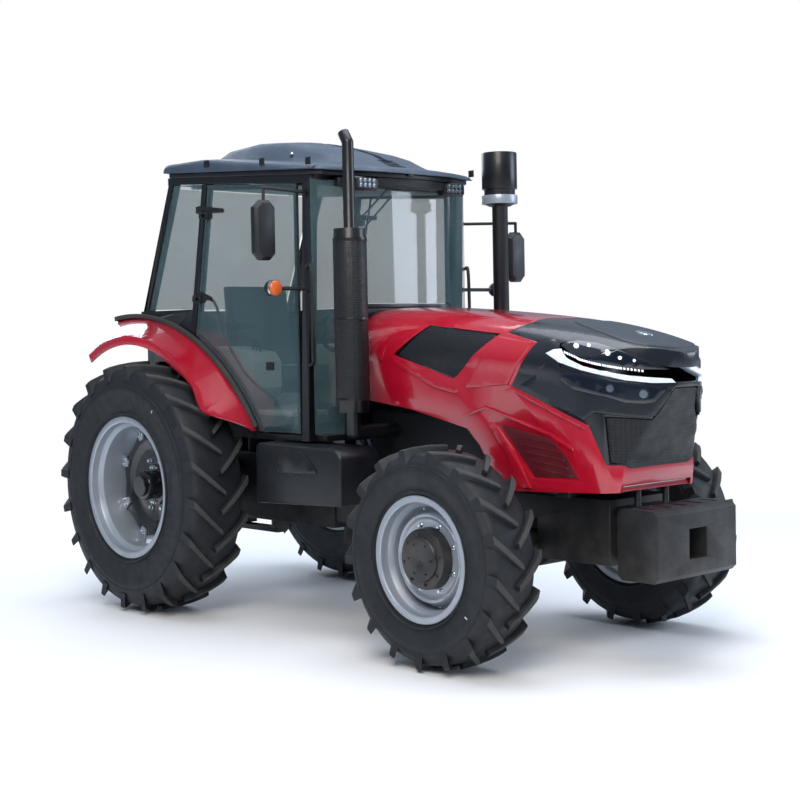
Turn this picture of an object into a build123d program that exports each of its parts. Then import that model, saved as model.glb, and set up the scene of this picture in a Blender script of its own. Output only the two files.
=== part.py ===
from build123d import *
import math
import os

# Farm tractor with cab, in millimetres: +X forward, +Y to its left, +Z up, the ground at z = 0.
# The origin lies on the ground under the middle of the overall length.

# Wheels: 16.9-34 at the rear, 13.6-24 at the front
WHEELBASE = 2714.0
REAR_AXLE_X = -1357.0
REAR_TYRE_R = 827.5
REAR_TYRE_W = 430.0
REAR_HALF_TRACK = 895.0
REAR_FLANGE_R = 468.0
REAR_SEAT_R = 436.0
REAR_WELL_R = 404.0
REAR_RIM_W = 372.0
FRONT_TYRE_R = 605.0
FRONT_TYRE_W = 345.0
FRONT_HALF_TRACK = 860.0
FRONT_FLANGE_R = 343.0
FRONT_SEAT_R = 314.0
FRONT_WELL_R = 288.0
FRONT_RIM_W = 290.0
RIM_WALL = 9.0
REAR_LUG_DEPTH = 38.0
REAR_LUGS = 20
FRONT_LUG_DEPTH = 31.0
FRONT_LUGS = 17
LUG_PAST = 12.0
LUG_SLOPE = 0.9
LUG_HALF = (15.0, 22.0)
DISC_Y = 24.0
LUG_T = 12.0
HUB_DRUM_R = 166.0
BEAD_GAP = 0.3
FRONT_AXLE_X = REAR_AXLE_X + WHEELBASE

# Clearances
RUN = 0.05
GAP = 0.3
MOVE = 6.0

# Driveline
CASE_HALF = 230.0
CASE_REAR = -1690.0
CASE_BOTTOM = 560.0
CASE_TOP = 1010.0
BELL_FRONT = 150.0
TRUMPET_END = 700.0
TRUMPET_R = 118.0
AXLE_SHAFT_R = 52.0
ENGINE_FRONT = 1150.0
ENGINE_HALF = 262.0
ENGINE_BOTTOM = 620.0
ENGINE_TOP = 1330.0
TRANSFER_Z = 500.0
SHAFT_R = 32.0
PTO_Z = 640.0
PTO_R = 17.5

# Front support and axle
FRAME_HALF = 250.0
FRAME_TOP = 900.0
FRAME_FRONT = 2030.0
BOLSTER_REAR = 1512.0
BOLSTER_BOTTOM = 545.0
BEAM_R = 78.0
BANJO_R = 140.0
PIVOT_R = 58.0
KINGPIN_Y = 655.0
KINGPIN_R = 22.0
KNUCKLE_H = 190.0
KNUCKLE_HALF = 60.0
YOKE_T = 32.0
SPINDLE_R = 40.0
WEIGHT_REAR = 2150.0
WEIGHT_FRONT = 2413.0
WEIGHT_HALF = 340.0
WEIGHT_BOTTOM = 500.0
WEIGHT_TOP = 872.0
TOW_PIN_R = 15.0
HOOD_STOP_Z = 952.0

# Cab
CAB_HALF = 655.0
POST_W = 56.0
GLASS_T = 6.0
FLOOR_TOP = 1192.0
FLOOR_T = 36.0
DECK_TOP = 1330.0
DECK_X = -940.0
SEAT_X = -1020.0
WHEEL_AT = (-340.0, 1847.0)
INNER_WALL_Y = 620.0
WALL_T = 8.0
BACK_X = -1760.0
BELT_TOP = 1990.0
COWL_X = 150.0
COWL_T = 30.0
COWL_HALF = 455.0
COWL_TOP = 1990.0
SCREEN_SAG = 100.0
A_TOP = (81.0, 2726.0)
A_FOOT = (25.0, 1165.0)
B_TOP = (-971.0, 2797.0)
B_FOOT = (-1137.0, 1854.0)
C_TOP = (-1355.0, 2828.0)
C_FOOT = (-1711.0, 1959.0)
ROOF_HALF = 690.0
ROOF_REAR = -1450.0
ROOF_FRONT = 330.0
ROOF_CORNER = 190.0
ROOF_TOP = 2992.0
DOME_HALF = 385.0
DOME_TOP = 3092.0
RAIL_H = 46.0
HEADER_T = 30.0
WORK_LAMP = (215.0, 285.0, 372.0, 88.0, 82.0)
HEADER_IN = 16.0

# Fenders
FENDER_T = 9.0
FENDER_BEAD = 3.0
# Outer edge of the right fender from its foot to its rear end: x, y, z and depth of the lip
FENDER_EDGE = (
    (-481.0, -690.0, 1212.0, 17.0),
    (-500.0, -780.0, 1258.0, 17.0),
    (-575.0, -870.0, 1300.0, 17.0),
    (-672.0, -938.0, 1345.0, 17.0),
    (-785.0, -925.0, 1473.0, 19.0),
    (-896.0, -918.0, 1573.0, 28.0),
    (-1009.0, -918.0, 1658.0, 53.0),
    (-1125.0, -935.0, 1735.0, 58.0),
    (-1231.0, -975.0, 1793.0, 58.0),
    (-1359.0, -1026.0, 1822.0, 58.0),
    (-1530.0, -1050.0, 1807.0, 58.0),
    (-1697.0, -1050.0, 1762.0, 58.0),
    (-1839.0, -1050.0, 1698.0, 58.0),
)
FENDER_DROP = (-0.35, 0.0, -0.94)
FENDER_REAR_ANGLE = 98.0
TANK_OUT = 800.0
SEAM_CENTRE = (-1863.0, 315.0)
SEAM_R = 1634.0
SEAM_BAND = 24.0
DOOR_GAP = 12.0
DOOR_FRONT = -50.0
DOOR_ARC_STEP = 3
DOOR_PIN_OUT = 26.0
HINGE_PAD_T = 8.0
DOOR_HINGE_Z = (2600.0, 2060.0)

# Hood
HOOD_REAR_TOP = 222.0
HOOD_REAR_FOOT = 318.0
HOOD_T = 12.0
NOSE_X = 2375.0
HOOD_HINGE = (262.0, 1898.0)
HOOD_PIN_R = 8.0

# Stacks
MUFFLER_XY = (376.0, -600.0)
MUFFLER_R = 96.0
MUFFLER_Z = (1342.0, 2428.0)
TAILPIPE_R = 35.0
STACK_TOP = 3009.0
INTAKE_XY = (483.0, 580.0)
INTAKE_R = 50.0
BOWL_R = 112.0
BOWL_Z = (2610.0, 2938.0)

# Three-point linkage, category 2
LINK_PIVOT = (-1490.0, 610.0)
LINK_PIVOT_Y = 262.0
LINK_BALL = (-2375.0, 560.0)
LINK_BALL_Y = 412.0
LINK_EYE_R = 14.35
LINK_KNEE = 0.5
ROCK_XZ = (-1630.0, 1068.0)
ROCK_R = 30.0
ARM_TIP = (-1975.0, 1073.0)
ARM_Y = 200.0
ARM_PIN_R = 12.0
ROD_Y = 240.0
ROD_SIDE = 37.0
TOP_EYE_R = 12.7
TOP_EYE = (-1880.0, 1540.0)
DRAWBAR_Z = 458.0
DRAWBAR_PIN_R = 15.5


def block(x0, x1, y0, y1, z0, z1):
    """A box between two corners."""
    return Pos((x0 + x1) / 2, (y0 + y1) / 2, (z0 + z1) / 2) * Box(x1 - x0, y1 - y0, z1 - z0)


def side_plate(points, y0, y1):
    """A side outline, given as x and z, drawn from y0 to y1."""
    plane = Plane((0, max(y0, y1), 0), x_dir=(1, 0, 0), z_dir=(0, -1, 0))
    return extrude(plane * Polygon(*points, align=None), abs(y1 - y0), dir=(0, -1, 0))


def plan_plate(points, z0, z1):
    """A plan outline, given as x and y, drawn from z0 to z1."""
    return extrude(Plane((0, 0, z0)) * Polygon(*points, align=None), z1 - z0, dir=(0, 0, 1))


def across(radius, x, z, y0, y1):
    """A round bar along Y."""
    return Pos(x, (y0 + y1) / 2, z) * Rot(90, 0, 0) * Cylinder(radius, abs(y1 - y0))


def along(radius, y, z, x0, x1):
    """A round bar along X."""
    return Pos((x0 + x1) / 2, y, z) * Rot(0, 90, 0) * Cylinder(radius, abs(x1 - x0))


def upright(radius, x, y, z0, z1):
    """A round bar along Z."""
    return Pos(x, y, (z0 + z1) / 2) * Cylinder(radius, abs(z1 - z0))


def rod(p, q, radius):
    """A round bar from point to point."""
    p = Vector(*p)
    q = Vector(*q)
    plane = Plane(p, z_dir=(q - p).normalized())
    return extrude(plane * Circle(radius), (q - p).length)


def bar(p, q, width, height):
    """A rectangular bar from point to point, its width level."""
    p = Vector(*p)
    q = Vector(*q)
    line = (q - p).normalized()
    level = Vector(0, 0, 1).cross(line)
    plane = Plane(p, x_dir=level, z_dir=line)
    return extrude(plane * Rectangle(width, height), (q - p).length)


def other_side(shape):
    """The same piece on the tractor's other side."""
    return mirror(shape, Plane.XZ)


def both(shape):
    """A right-hand piece with its left-hand twin."""
    return Compound(children=[shape, other_side(shape)])


def turned(points, x=0.0, z=0.0):
    """A ring about a line along Y, from a profile given as y and radius."""
    plane = Plane((x, 0, z), x_dir=(0, 1, 0), z_dir=(1, 0, 0))
    return revolve(plane * Polygon(*points, align=None), Axis((x, 0, z), (0, 1, 0)), 360)


def on_line(p, q, z):
    """The x at height z on the line through p and q, both given as x and z."""
    return p[0] + (q[0] - p[0]) * (z - p[1]) / (q[1] - p[1])


def seam_point(extra, angle):
    """A point on the seam between cab and fender, moved outwards by extra."""
    r = SEAM_R + extra
    a = math.radians(angle)
    return (SEAM_CENTRE[0] + r * math.cos(a), SEAM_CENTRE[1] + r * math.sin(a))


def seam_z(extra, x):
    """Height of the seam line, moved outwards by extra, at x."""
    return SEAM_CENTRE[1] + math.sqrt((SEAM_R + extra) ** 2 - (x - SEAM_CENTRE[0]) ** 2)


def seam_angle(extra, x):
    """Angle of the seam line, moved outwards by extra, at x."""
    return math.degrees(math.acos((x - SEAM_CENTRE[0]) / (SEAM_R + extra)))


def arc_points(extra, a0, a1, count):
    """Points along the seam line."""
    return [seam_point(extra, a0 + (a1 - a0) * k / (count - 1)) for k in range(count)]


def hinge(point, direction, to_fixed, to_moving, pin_r=7.0):
    """A two-leaf hinge: fixed knuckle with its leaf, and moving pin with its two leaves."""
    line = Vector(*direction).normalized()
    centre = Vector(*point)
    eye_r = pin_r + 8
    high = 22.0
    plate = 10.0
    start = Plane(centre - line * (high / 2), x_dir=Vector(*to_fixed).normalized(), z_dir=line)
    fixed = extrude(start * Circle(eye_r), high)
    reach = Vector(*to_fixed).length
    fixed += extrude(start * Pos(reach / 2, 0) * Rectangle(reach, 2 * pin_r), high)
    fixed -= extrude(start * Circle(pin_r + RUN), high)
    moving = None
    for base in (high / 2 + 1, -high / 2 - 1 - plate):
        leaf = Plane(centre + line * base, x_dir=Vector(*to_moving).normalized(), z_dir=line)
        part = extrude(leaf * Circle(eye_r), plate)
        long = Vector(*to_moving).length
        part += extrude(leaf * Pos(long / 2, 0) * Rectangle(long, 2 * pin_r), plate)
        moving = part if moving is None else moving + part
    pin = Plane(centre - line * (high / 2 + 1 + plate), z_dir=line)
    moving += extrude(pin * Circle(pin_r), high + 2 + 2 * plate)
    return fixed, moving


# Wheels, each made about its own centre with its outer side towards -Y
def lug(radius, width, depth, angle, sweep):
    """A tread lug from just past the centre line out to the shoulder, swept back at its outer end."""
    ends = (
        (LUG_PAST, angle, radius, radius - depth - 14, LUG_HALF[0]),
        (-width / 2 + 4, angle + sweep, radius * 0.972, radius - depth - 84, LUG_HALF[1]),
    )
    rings = []
    for y, middle, top, low, half in ends:
        corners = ((low, -1.3), (low, 1.3), (top, 1.0), (top, -1.0))
        turns = [(r, math.radians(middle) + side * half / r) for r, side in corners]
        rings.append([(r * math.cos(a), y, r * math.sin(a)) for r, a in turns])
    near, far = rings
    sides = [near, far]
    for k in range(4):
        j = (k + 1) % 4
        sides += [[near[k], near[j], far[j]], [near[k], far[j], far[k]]]
    return Solid(Shell([Face(Wire.make_polygon(points, close=True)) for points in sides]))


def ring_form(outline, bore, sides):
    """A many-sided ring about Y: outline of (y, radius) from one bore edge over the crown to the other."""
    planes = [Plane((0, y, 0), x_dir=(1, 0, 0), z_dir=(0, -1, 0)) for y, r in outline]
    faces = [(plane * RegularPolygon(r, sides)).face() for plane, (y, r) in zip(planes, outline)]
    hole = RegularPolygon(bore, sides, major_radius=False)
    ends = [y for y, r in outline]
    deep = max(ends) - min(ends) + 20
    cut = extrude(Plane((0, max(ends) + 10, 0), x_dir=(1, 0, 0), z_dir=(0, -1, 0)) * hole, deep)
    return loft(faces, ruled=True) - cut


def tyre(radius, width, flange_r, seat_r, rim_w, depth, count):
    """A tyre that sits on the rim between its flanges, with two rows of lugs in chevrons."""
    seat = rim_w / 2 - BEAD_GAP
    waist = (radius + flange_r) / 2
    base = radius - depth
    outline = [(-seat, flange_r + 6), (-width / 2, waist), (-width * 0.44, base - 34), (-width * 0.3, base)]
    outline += [(-y, r) for y, r in reversed(outline)]
    carcass = ring_form(outline, seat_r + BEAD_GAP, count)
    pitch = 360 / count
    sweep = math.degrees((width / 2 + LUG_PAST) * LUG_SLOPE / radius)
    row = [Rot(0, -pitch * k, 0) * lug(radius, width, depth, 0, sweep) for k in range(count)]
    return carcass.fuse(*row, *[Rot(0, -pitch / 2, 0) * other_side(one) for one in row])


def rim(flange_r, seat_r, well_r, rim_w):
    """A rolled steel rim with its two flanges and dropped centre."""
    h = rim_w / 2
    t = RIM_WALL
    top = [(-h - t, flange_r), (-h, flange_r), (-h, seat_r), (-h + 46, seat_r), (-h + 74, well_r)]
    top += [(-y, r) for y, r in reversed(top)]
    low = [(-h - t, seat_r - t), (-h + 42, seat_r - t), (-h + 70, well_r - t)]
    low += [(-y, r) for y, r in reversed(low)]
    return turned(top + list(reversed(low)))


def rear_rim():
    """Rear rim with the lugs inside its well, to which the centre disc is bolted."""
    ring = rim(REAR_FLANGE_R, REAR_SEAT_R, REAR_WELL_R, REAR_RIM_W)
    inside = REAR_WELL_R - RIM_WALL
    for k in range(8):
        lug = block(-35, 35, DISC_Y - LUG_T, DISC_Y, inside - 78, inside + 2)
        ring += Rot(0, 22.5 + 45 * k, 0) * lug
    return ring


def rear_hub():
    """Black centre disc round the hub, and the axle shaft that carries them."""
    y = DISC_Y
    disc_r = REAR_WELL_R - RIM_WALL - 26
    outer = [(y, disc_r), (y + 14, disc_r), (y + 36, 250), (y + 36, 120)]
    dish = turned(outer + [(y + 20, 120), (y + 20, 246), (y, 340)])
    flange = across(150, 0, 0, y - 2, y + 24)
    nose = across(96, 0, 0, -70, y)
    cap = across(70, 0, 0, -96, -70)
    inner = REAR_HALF_TRACK - TRUMPET_END - MOVE
    flare = across(88, 0, 0, y + 20, inner)
    shaft = across(AXLE_SHAFT_R, 0, 0, inner, inner + MOVE + 90)
    return dish + flange + nose + cap + flare + shaft


def front_rim():
    """Front rim with its dished disc, welded inside the well."""
    ring = rim(FRONT_FLANGE_R, FRONT_SEAT_R, FRONT_WELL_R, FRONT_RIM_W)
    inside = FRONT_WELL_R - RIM_WALL
    dish = turned(
        [(-6, inside + 1), (4, inside + 1), (4, 250), (-62, 218), (-62, HUB_DRUM_R)]
        + [(-70, HUB_DRUM_R), (-70, 222), (-6, 256)]
    )
    return ring + dish


def front_hub():
    """Black planetary hub, bolted behind the disc, with its axle stub."""
    flange = across(HUB_DRUM_R + 34, 0, 0, -62, -44)
    drum = across(HUB_DRUM_R - GAP, 0, 0, -132, -60)
    cap = across(118, 0, 0, -150, -130)
    inner = FRONT_HALF_TRACK - KINGPIN_Y - KNUCKLE_HALF - MOVE
    barrel = across(122, 0, 0, -50, inner)
    shaft = across(SPINDLE_R, 0, 0, inner, inner + MOVE + 48)
    return flange + drum + cap + barrel + shaft


# Driveline
def transmission_housing():
    """Gearbox, centre housing, lift housing and the two axle trumpets, bolted up as one."""
    case = block(CASE_REAR, -260, -CASE_HALF, CASE_HALF, CASE_BOTTOM, CASE_TOP)
    bell = block(-260, BELL_FRONT, -CASE_HALF + 20, CASE_HALF - 20, CASE_BOTTOM + 40, CASE_TOP - 30)
    drop = block(-330, -160, -92, 92, TRANSFER_Z - 60, CASE_BOTTOM + 45)
    lift = block(CASE_REAR, -1340, -150, 150, CASE_TOP, ROCK_XZ[1] + 58)
    housing = case + bell + drop + lift
    for side in (-1, 1):
        root = side * CASE_HALF
        end = side * TRUMPET_END
        housing += Pos(REAR_AXLE_X, (root + end) / 2, REAR_TYRE_R) * Rot(side * -90, 0, 0) * Cone(
            165, TRUMPET_R, TRUMPET_END - CASE_HALF
        )
        housing += across(TRUMPET_R + 26, REAR_AXLE_X, REAR_TYRE_R, side * (TRUMPET_END - 26), end)
        housing -= across(AXLE_SHAFT_R + RUN, REAR_AXLE_X, REAR_TYRE_R, side * (TRUMPET_END - 96), end)
        pin_end = side * (LINK_PIVOT_Y + 24)
        housing += across(LINK_EYE_R, LINK_PIVOT[0], LINK_PIVOT[1], side * (CASE_HALF - 5), pin_end)
        for x in (-1180, -160):
            under = FLOOR_TOP - FLOOR_T if x > DECK_X else DECK_TOP - 40
            mount = upright(38, x, side * 165, CASE_TOP - 60, under)
            housing += mount
    housing -= along(PTO_R + 6 + RUN, 0, PTO_Z, CASE_REAR, CASE_REAR + 60)
    housing -= across(ROCK_R + RUN, ROCK_XZ[0], ROCK_XZ[1], -160, 160)
    clevis = block(CASE_REAR - 105, CASE_REAR, -45, 45, 930, 985)
    clevis -= block(CASE_REAR - 106, CASE_REAR - 30, -26, 26, 929, 986)
    housing += clevis
    return housing


def engine_block():
    """The engine, one plain block at its real size and place."""
    return block(BELL_FRONT, ENGINE_FRONT, -ENGINE_HALF, ENGINE_HALF, ENGINE_BOTTOM, ENGINE_TOP)


def radiator():
    """Radiator pack on the front support, behind the nose."""
    return block(1700, 1790, -300, 300, FRAME_TOP, 1600)


def front_frame():
    """Cast front support: two cheeks from the engine to the bolster over the axle."""
    cheeks = block(ENGINE_FRONT, FRAME_FRONT, -FRAME_HALF, FRAME_HALF, 765, FRAME_TOP)
    bolster = block(BOLSTER_REAR, FRAME_FRONT, -FRAME_HALF, FRAME_HALF, BOLSTER_BOTTOM, 765)
    rear_foot = block(ENGINE_FRONT, 1204, -150, 150, BOLSTER_BOTTOM, 765)
    frame = cheeks + bolster + rear_foot
    frame -= along(PIVOT_R + GAP, 0, FRONT_TYRE_R, 1150, 1215)
    frame -= along(PIVOT_R + GAP, 0, FRONT_TYRE_R, BOLSTER_REAR, BOLSTER_REAR + 80)
    return frame


def front_axle():
    """Driven front axle: centre housing, two tubes, and a yoke for each kingpin."""
    axle = across(BANJO_R, FRONT_AXLE_X, FRONT_TYRE_R, -112, 112)
    axle += across(BEAM_R, FRONT_AXLE_X, FRONT_TYRE_R, -KINGPIN_Y + 112, KINGPIN_Y - 112)
    axle += along(PIVOT_R, 0, FRONT_TYRE_R, ENGINE_FRONT + 2, BOLSTER_REAR + 78)
    half = KNUCKLE_H / 2 + MOVE
    bottom = FRONT_TYRE_R - half - YOKE_T
    top = FRONT_TYRE_R + half + YOKE_T
    for side in (-1, 1):
        y_in = side * (KINGPIN_Y - 112)
        y_mid = side * (KINGPIN_Y - 78)
        y_out = side * (KINGPIN_Y + 40)
        web = block(FRONT_AXLE_X - 60, FRONT_AXLE_X + 60, min(y_in, y_mid), max(y_in, y_mid), bottom, top)
        axle += web
        for low in (bottom, top - YOKE_T):
            y0, y1 = sorted((y_in, y_out))
            axle += block(FRONT_AXLE_X - 48, FRONT_AXLE_X + 48, y0, y1, low, low + YOKE_T)
        axle -= upright(KINGPIN_R + RUN, FRONT_AXLE_X, side * KINGPIN_Y, bottom, top)
    return axle


def knuckle():
    """Right steering knuckle, turning on its kingpin between the yoke's arms."""
    z = FRONT_TYRE_R
    y = -KINGPIN_Y
    half = KNUCKLE_HALF
    body = upright(half, FRONT_AXLE_X, y, z - KNUCKLE_H / 2, z + KNUCKLE_H / 2)
    body += block(FRONT_AXLE_X - 56, FRONT_AXLE_X + 56, y - half, y, z - 70, z + 70)
    pin_end = KNUCKLE_H / 2 + MOVE + YOKE_T
    body += upright(KINGPIN_R, FRONT_AXLE_X, y, z - pin_end, z + pin_end)
    body -= across(SPINDLE_R + RUN, FRONT_AXLE_X, z, y - half, y - half + 48)
    return body


def drive_shaft():
    """Front-wheel drive shaft with its guard, from the transfer box to the axle pivot."""
    return rod((-157.5, 0, TRANSFER_Z), (ENGINE_FRONT - 2.4, 0, 578), SHAFT_R)


def front_weights():
    """Front weight block on its carrier, with a tow recess, and the hood's rubber stops."""
    carrier = block(FRAME_FRONT, WEIGHT_REAR, -190, 190, 570, 860)
    weight = block(WEIGHT_REAR, WEIGHT_FRONT, -WEIGHT_HALF, WEIGHT_HALF, WEIGHT_BOTTOM, WEIGHT_TOP)
    weight = chamfer(weight.edges().filter_by(Axis.Y), 26)
    weight -= block(WEIGHT_FRONT - 120, WEIGHT_FRONT, -75, 75, 600, 760)
    pin_x = WEIGHT_FRONT - 45
    weight -= upright(TOW_PIN_R, pin_x, 0, WEIGHT_BOTTOM, WEIGHT_TOP)
    for k in range(-2, 3):
        slot = k * WEIGHT_HALF * 0.4
        weight -= block(WEIGHT_REAR + 60, pin_x - 30, slot - 16, slot + 16, WEIGHT_TOP - 46, WEIGHT_TOP)
    for side in (-1, 1):
        carrier += upright(18, 2115, side * 120, 855, HOOD_STOP_Z)
    return carrier + weight


def fuel_tanks():
    """Fuel tank on the right, with its brackets, and its twin on the left."""
    top = FLOOR_TOP - FLOOR_T - MOVE
    outline = [(-298, top), (430, top - 14), (480, top - 60), (480, 800), (-330, 772), (-330, top - 20)]
    tank = side_plate(outline, -TANK_OUT, -480)
    tank += block(200, 300, -480, -ENGINE_HALF, 860, 920)
    tank += block(-200, -100, -480, -CASE_HALF + 20, 860, 920)
    return both(tank)


# Cab
def leaning_post(top, foot, depth, width, z_top, z_foot):
    """A post that leans in side view, behind the line through its top and foot points."""
    x1 = on_line(top, foot, z_top)
    x0 = on_line(top, foot, z_foot)
    outline = [(x1 - width, z_top), (x1, z_top), (x0, z_foot), (x0 - width, z_foot)]
    return side_plate(outline, -CAB_HALF, -CAB_HALF + depth)


def rail_z(x):
    """Underside of the roof rails at x: the roof slopes down to the front."""
    return C_TOP[1] + (x - C_TOP[0]) * (A_TOP[1] - C_TOP[1]) / (A_TOP[0] - C_TOP[0])


def cab_frame():
    """Six posts, roof rails, belt panels and cross rails."""
    band = SEAM_BAND + 2 * GAP
    floor = FLOOR_TOP - FLOOR_T
    side = leaning_post(A_TOP, A_FOOT, 60, POST_W + 12, rail_z(A_TOP[0] - 59), floor)
    x1 = on_line(B_TOP, B_FOOT, rail_z(B_TOP[0] - 26))
    x0 = on_line(B_TOP, B_FOOT, BELT_TOP)
    foot = B_FOOT[0] - 5
    b_post = [(x1 - POST_W, rail_z(B_TOP[0] - 26)), (x1, rail_z(B_TOP[0] - 26)), (x0, BELT_TOP)]
    b_post += [(foot, seam_z(band, foot)), (foot - POST_W, seam_z(band, foot - POST_W))]
    b_post += [(x0 - POST_W, BELT_TOP)]
    side += side_plate(b_post, -CAB_HALF, -CAB_HALF + 56)
    side += leaning_post(C_TOP, C_FOOT, 60, POST_W, rail_z(C_TOP[0] - 29), BELT_TOP)
    rear = C_TOP[0] - 61
    nose = A_TOP[0]
    rail = [(rear, rail_z(rear)), (nose, rail_z(nose))]
    rail += [(nose, rail_z(nose) + RAIL_H), (rear, rail_z(rear) + RAIL_H)]
    side += side_plate(rail, -CAB_HALF, -CAB_HALF + 60)
    belt = [(x0 - POST_W + 2, BELT_TOP), (BACK_X, BELT_TOP)]
    belt += arc_points(band, seam_angle(band, BACK_X), seam_angle(band, foot - POST_W + 2), 20)
    side += side_plate(belt, -CAB_HALF, -CAB_HALF + 56)
    frame = side + other_side(side)
    frame += block(nose - 59, nose, -CAB_HALF, CAB_HALF, rail_z(nose - 59), rail_z(nose) + RAIL_H)
    frame += block(rear, rear + 47, -CAB_HALF, CAB_HALF, rail_z(rear + 47), rail_z(rear + 47) + RAIL_H - 4)
    frame += block(BACK_X - 25, BACK_X, -CAB_HALF, CAB_HALF, BELT_TOP - 25, BELT_TOP)
    frame += window_hinges()[0]
    frame += door_hinges()[0]
    frame += other_side(door_hinges()[0])
    return frame


def cab_floor():
    """Floor, side walls beside the wheels with their arched bands, deck and rear wall."""
    bottom = FLOOR_TOP - FLOOR_T
    post = on_line(A_TOP, A_FOOT, bottom) - POST_W - 13
    sill = seam_point(0, math.degrees(math.asin((FLOOR_TOP - SEAM_CENTRE[1]) / SEAM_R)))[0] - 53
    floor = block(sill, post, -CAB_HALF, CAB_HALF, bottom, FLOOR_TOP)
    floor += block(post, COWL_X - COWL_T, -CAB_HALF + 62, CAB_HALF - 62, bottom, FLOOR_TOP)
    floor += block(DECK_X, sill, -INNER_WALL_Y, INNER_WALL_Y, bottom, FLOOR_TOP)
    floor += block(BACK_X, DECK_X + 10, -INNER_WALL_Y, INNER_WALL_Y, DECK_TOP - 40, DECK_TOP)
    floor += block(DECK_X, DECK_X + 20, -INNER_WALL_Y, INNER_WALL_Y, bottom, DECK_TOP)
    floor += block(BACK_X, BACK_X + WALL_T, -INNER_WALL_Y, INNER_WALL_Y, DECK_TOP - 40, BELT_TOP - 26)
    start = math.degrees(math.asin((FLOOR_TOP - SEAM_CENTRE[1]) / SEAM_R))
    end = seam_angle(-10, BACK_X)
    wall = arc_points(-5, start, end, 16)
    wall += [(BACK_X, DECK_TOP - 40), (DECK_X + 5, DECK_TOP - 40)]
    wall += [(DECK_X + 5, bottom), (wall[0][0], bottom)]
    side = side_plate(wall, -INNER_WALL_Y - WALL_T, -INNER_WALL_Y)
    band = arc_points(-10, start, end, 16) + arc_points(SEAM_BAND, end, start, 16)
    side += side_plate(band, -CAB_HALF, -INNER_WALL_Y)
    return floor + side + other_side(side)


def cab_cowl():
    """Firewall below the windscreen, the shelf under the glass, and the hood's hinge ears."""
    cowl = block(COWL_X - COWL_T, COWL_X, -COWL_HALF, COWL_HALF, FLOOR_TOP - FLOOR_T, COWL_TOP)
    shelf = upright(screen_radius() - GAP, screen_centre(), 0, COWL_TOP - 26, COWL_TOP)
    shelf &= block(COWL_X - 5, 500, -COWL_HALF, COWL_HALF, COWL_TOP - 30, COWL_TOP)
    cowl += shelf
    ear = hood_hinge()[0]
    return cowl + ear + other_side(ear)


def hood_hinge():
    """Right hood hinge: ear on the cowl, and pin with its leaves under the hood."""
    x, z = HOOD_HINGE
    still, swing = hinge((x, -150, z), (0, 1, 0), (COWL_X - x - 2, 0, -60), (58, 0, 0), HOOD_PIN_R)
    swing += block(x + 40, x + 70, -172, -128, z - HOOD_PIN_R, z + 52)
    return still, swing


def screen_radius():
    """Outer radius of the curved windscreen."""
    half = CAB_HALF - 2
    return (half ** 2 + SCREEN_SAG ** 2) / (2 * SCREEN_SAG)


def screen_centre():
    """X of the windscreen's centre of curvature."""
    return A_TOP[0] + 3 + SCREEN_SAG - screen_radius()


def windscreen():
    """Curved windscreen that comes down beside the hood."""
    top = rail_z(A_TOP[0] - 59) + 10
    y = CAB_HALF - 2
    radius = screen_radius()
    shell = upright(radius, screen_centre(), 0, FLOOR_TOP + 10, top)
    shell -= upright(radius - GLASS_T, screen_centre(), 0, FLOOR_TOP + 10, top)
    shell &= block(A_TOP[0] + 1, 500, -y, y, FLOOR_TOP + 10, top)
    shell -= block(100, 600, -COWL_HALF - 4, COWL_HALF + 4, 1000, COWL_TOP + 4)
    return shell


def cab_glass():
    """Windscreen and the rear quarter windows."""
    z0 = BELT_TOP + 4
    rear0 = on_line(C_TOP, C_FOOT, z0) + GAP
    front0 = on_line(B_TOP, B_FOOT, z0) - POST_W - GAP
    rear1 = on_line(C_TOP, C_FOOT, C_TOP[1] - 4) + GAP
    front1 = on_line(B_TOP, B_FOOT, rail_z(B_TOP[0] - POST_W) - 4) - POST_W - GAP
    corners = [(rear0, z0), (front0, z0), (front1, rail_z(front1) - 4), (rear1, rail_z(rear1) - 4)]
    pane = side_plate(corners, -CAB_HALF + 8, -CAB_HALF + 8 + GLASS_T)
    return Compound(children=[windscreen(), pane, other_side(pane)])


def roof_plan(inset, front=0.0):
    """Plan outline of the roof: straight sides, cut front corners, bowed front edge."""
    half = ROOF_HALF - inset
    rear = ROOF_REAR + inset
    tip = ROOF_FRONT - inset + front
    corner = ROOF_CORNER - inset + front
    right = [(rear, -half + 60), (rear + 60, -half), (corner - 90, -half), (corner - 20, -half + 60)]
    right += [(corner + 8, -half + 180), (tip - 22, -half * 0.42), (tip, 0)]
    return right + [(x, -y) for x, y in reversed(right[:-1])]


def roof_bottom(x):
    """Underside of the roof shell at x."""
    return rail_z(x) + RAIL_H + HEADER_T


def cab_roof():
    """Roof shell with its raised dome."""
    low = roof_bottom(ROOF_FRONT)
    side = [(ROOF_REAR, roof_bottom(ROOF_REAR)), (ROOF_FRONT, low)]
    side += [(ROOF_FRONT, low + 26), (ROOF_CORNER - 30, low + 62)]
    side += [(-980, ROOF_TOP), (ROOF_REAR + 30, ROOF_TOP + 8), (ROOF_REAR, ROOF_TOP - 12)]
    slab = side_plate(side, -ROOF_HALF, ROOF_HALF) & plan_plate(roof_plan(0), low - 200, ROOF_TOP + 200)
    slab &= crown(ROOF_HALF, low - 200, ROOF_TOP + 14, 36, 26)
    dome = side_plate(
        [(-1330, ROOF_TOP - 60), (-1290, 3030), (-1150, 3074), (-850, DOME_TOP)]
        + [(-560, 3070), (-100, 2962), (250, 2800)],
        -DOME_HALF, DOME_HALF,
    )
    dome &= crown(DOME_HALF, low, DOME_TOP, 70, 60)
    dome &= plan_plate(roof_plan(60), low - 200, DOME_TOP + 50)
    return slab + dome


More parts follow.
